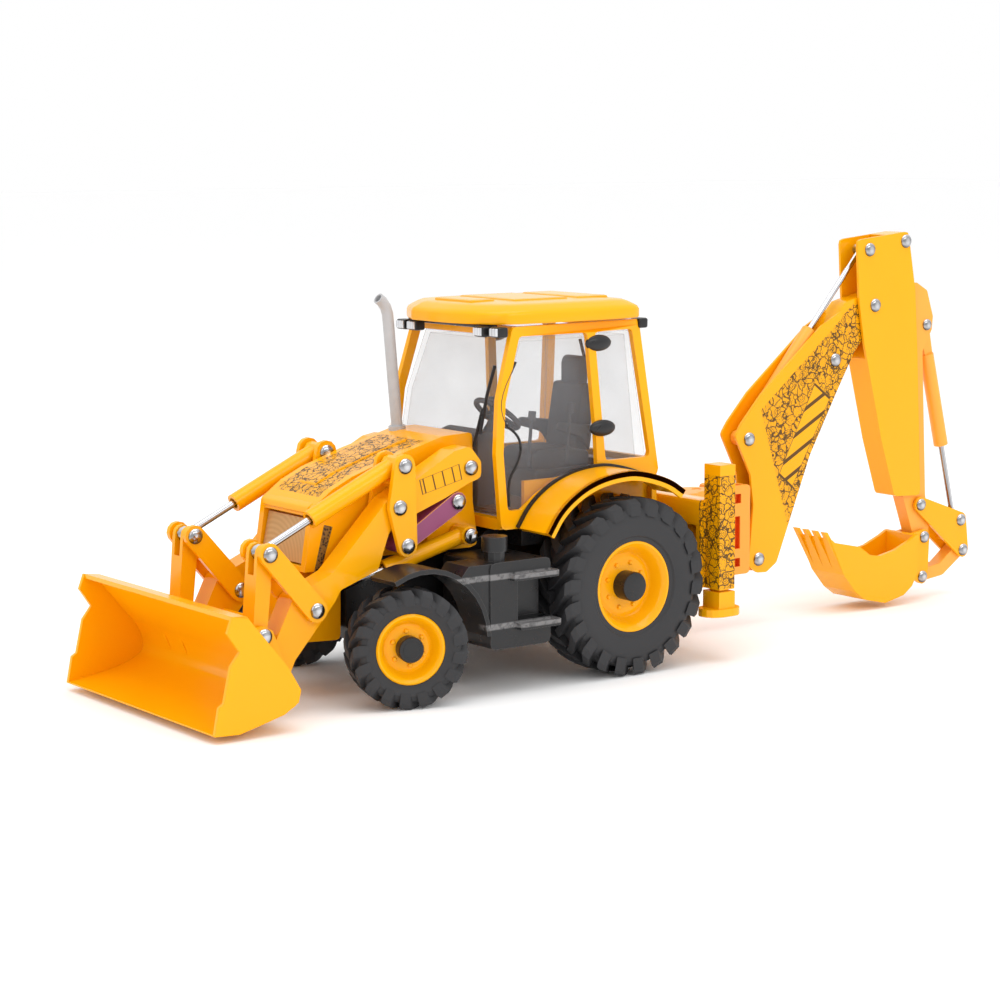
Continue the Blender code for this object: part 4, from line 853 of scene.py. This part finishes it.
def arch(bm, thick, y_from, y_to):
    """The crest line made solid towards the wheel by this much, or away from it if negative."""
    curve = softened(crest)
    under = [tuple(Vector(p) + (wheel_middle - Vector(p)).normalized() * thick) for p in curve]
    extrude(bm, curve + under[::-1], y_from, y_to)


for side, word in ((1, "left"), (-1, "right")):
    bm = bmesh.new()
    arch(bm, 1.5, side * 24.2, side * 36.0)
    arch(bm, 2.5, side * 34.9, side * 36.0)
    node = f"rear_mudguard_{word}"
    solid(f"{node}_swept", bm, plain_enamel, "tractor", [node], 0.3)
    bm = bmesh.new()
    arch(bm, -0.7, side * 23.6, side * 24.6)
    solid(f"{node}_seal", bm, black, "tractor", (), 0.15)

# ---- Door furniture and wipers ----
# Black oval hinge covers on the door pillar, a curved door seal line, and two thin wipers.
def blob(bm, centre, size):
    made = bmesh.ops.create_uvsphere(bm, u_segments=24, v_segments=14, radius=1.0)
    stretch = Matrix.Translation(centre) @ Matrix.Diagonal((*size, 1))
    bmesh.ops.transform(bm, matrix=stretch, verts=made["verts"])


bm = bmesh.new()
for x, z, y in ((1.6, 83.4, 21.9), (1.4, 62.0, 23.4)):
    for side in (-1, 1):
        blob(bm, spot(x, z, side * y), (4.1, 1.1, 2.1))
solid("pillar_covers", bm, black, "tractor")
bm = bmesh.new()
tube(bm, [spot(30.6, 79.0, 17.5), spot(32.0, 71.5, 16.0), spot(33.0, 62.0, 14.4)], 0.45, steps=8)
tube(bm, [spot(33.3, 58.6, 12.0), spot(32.6, 68.3, 15.0)], 0.4, steps=8)
tube(bm, [spot(-13.6, 82.0, -5.0), spot(-14.6, 66.0, 0.0), spot(-15.0, 58.4, 0.5)], 0.45, steps=8)
door = [(27.6, 80.0), (33.0, 71.2), (32.0, 65.1), (27.6, 62.1)]
door += [(26.6, 58.3), (28.6, 54.0), (30.8, 51.0), (30.6, 44.5)]
tube(bm, [spot(x, z, 23.2 - max(z - 57.0, 0) * 0.05) for x, z in softened(door, 2)], 0.35, steps=8)
solid("wipers_and_seal", bm, black, "tractor")

# ---- Floor ----
# A plain white sweep under the wheels, far wider than the view, with only a faint change in sheen.
floor_finish = Finish("sweep", (1.0, 1.0, 1.0), Roughness=0.75, Specular_IOR_Level=0.1)
speckle = floor_finish.noise(floor_finish.place(), 0.02)
floor_finish.feed("Roughness", 0.7 + speckle * 0.1)
bm = bmesh.new()
bmesh.ops.create_grid(bm, x_segments=1, y_segments=1, size=6.0)
mesh = bpy.data.meshes.new("sweep")
bm.to_mesh(mesh)
bm.free()
floor = bpy.data.objects.new("sweep", mesh)
floor.location = (middle.x, middle.y, low.z)
floor.data.materials.append(floor_finish.material)
bpy.context.scene.collection.objects.link(floor)
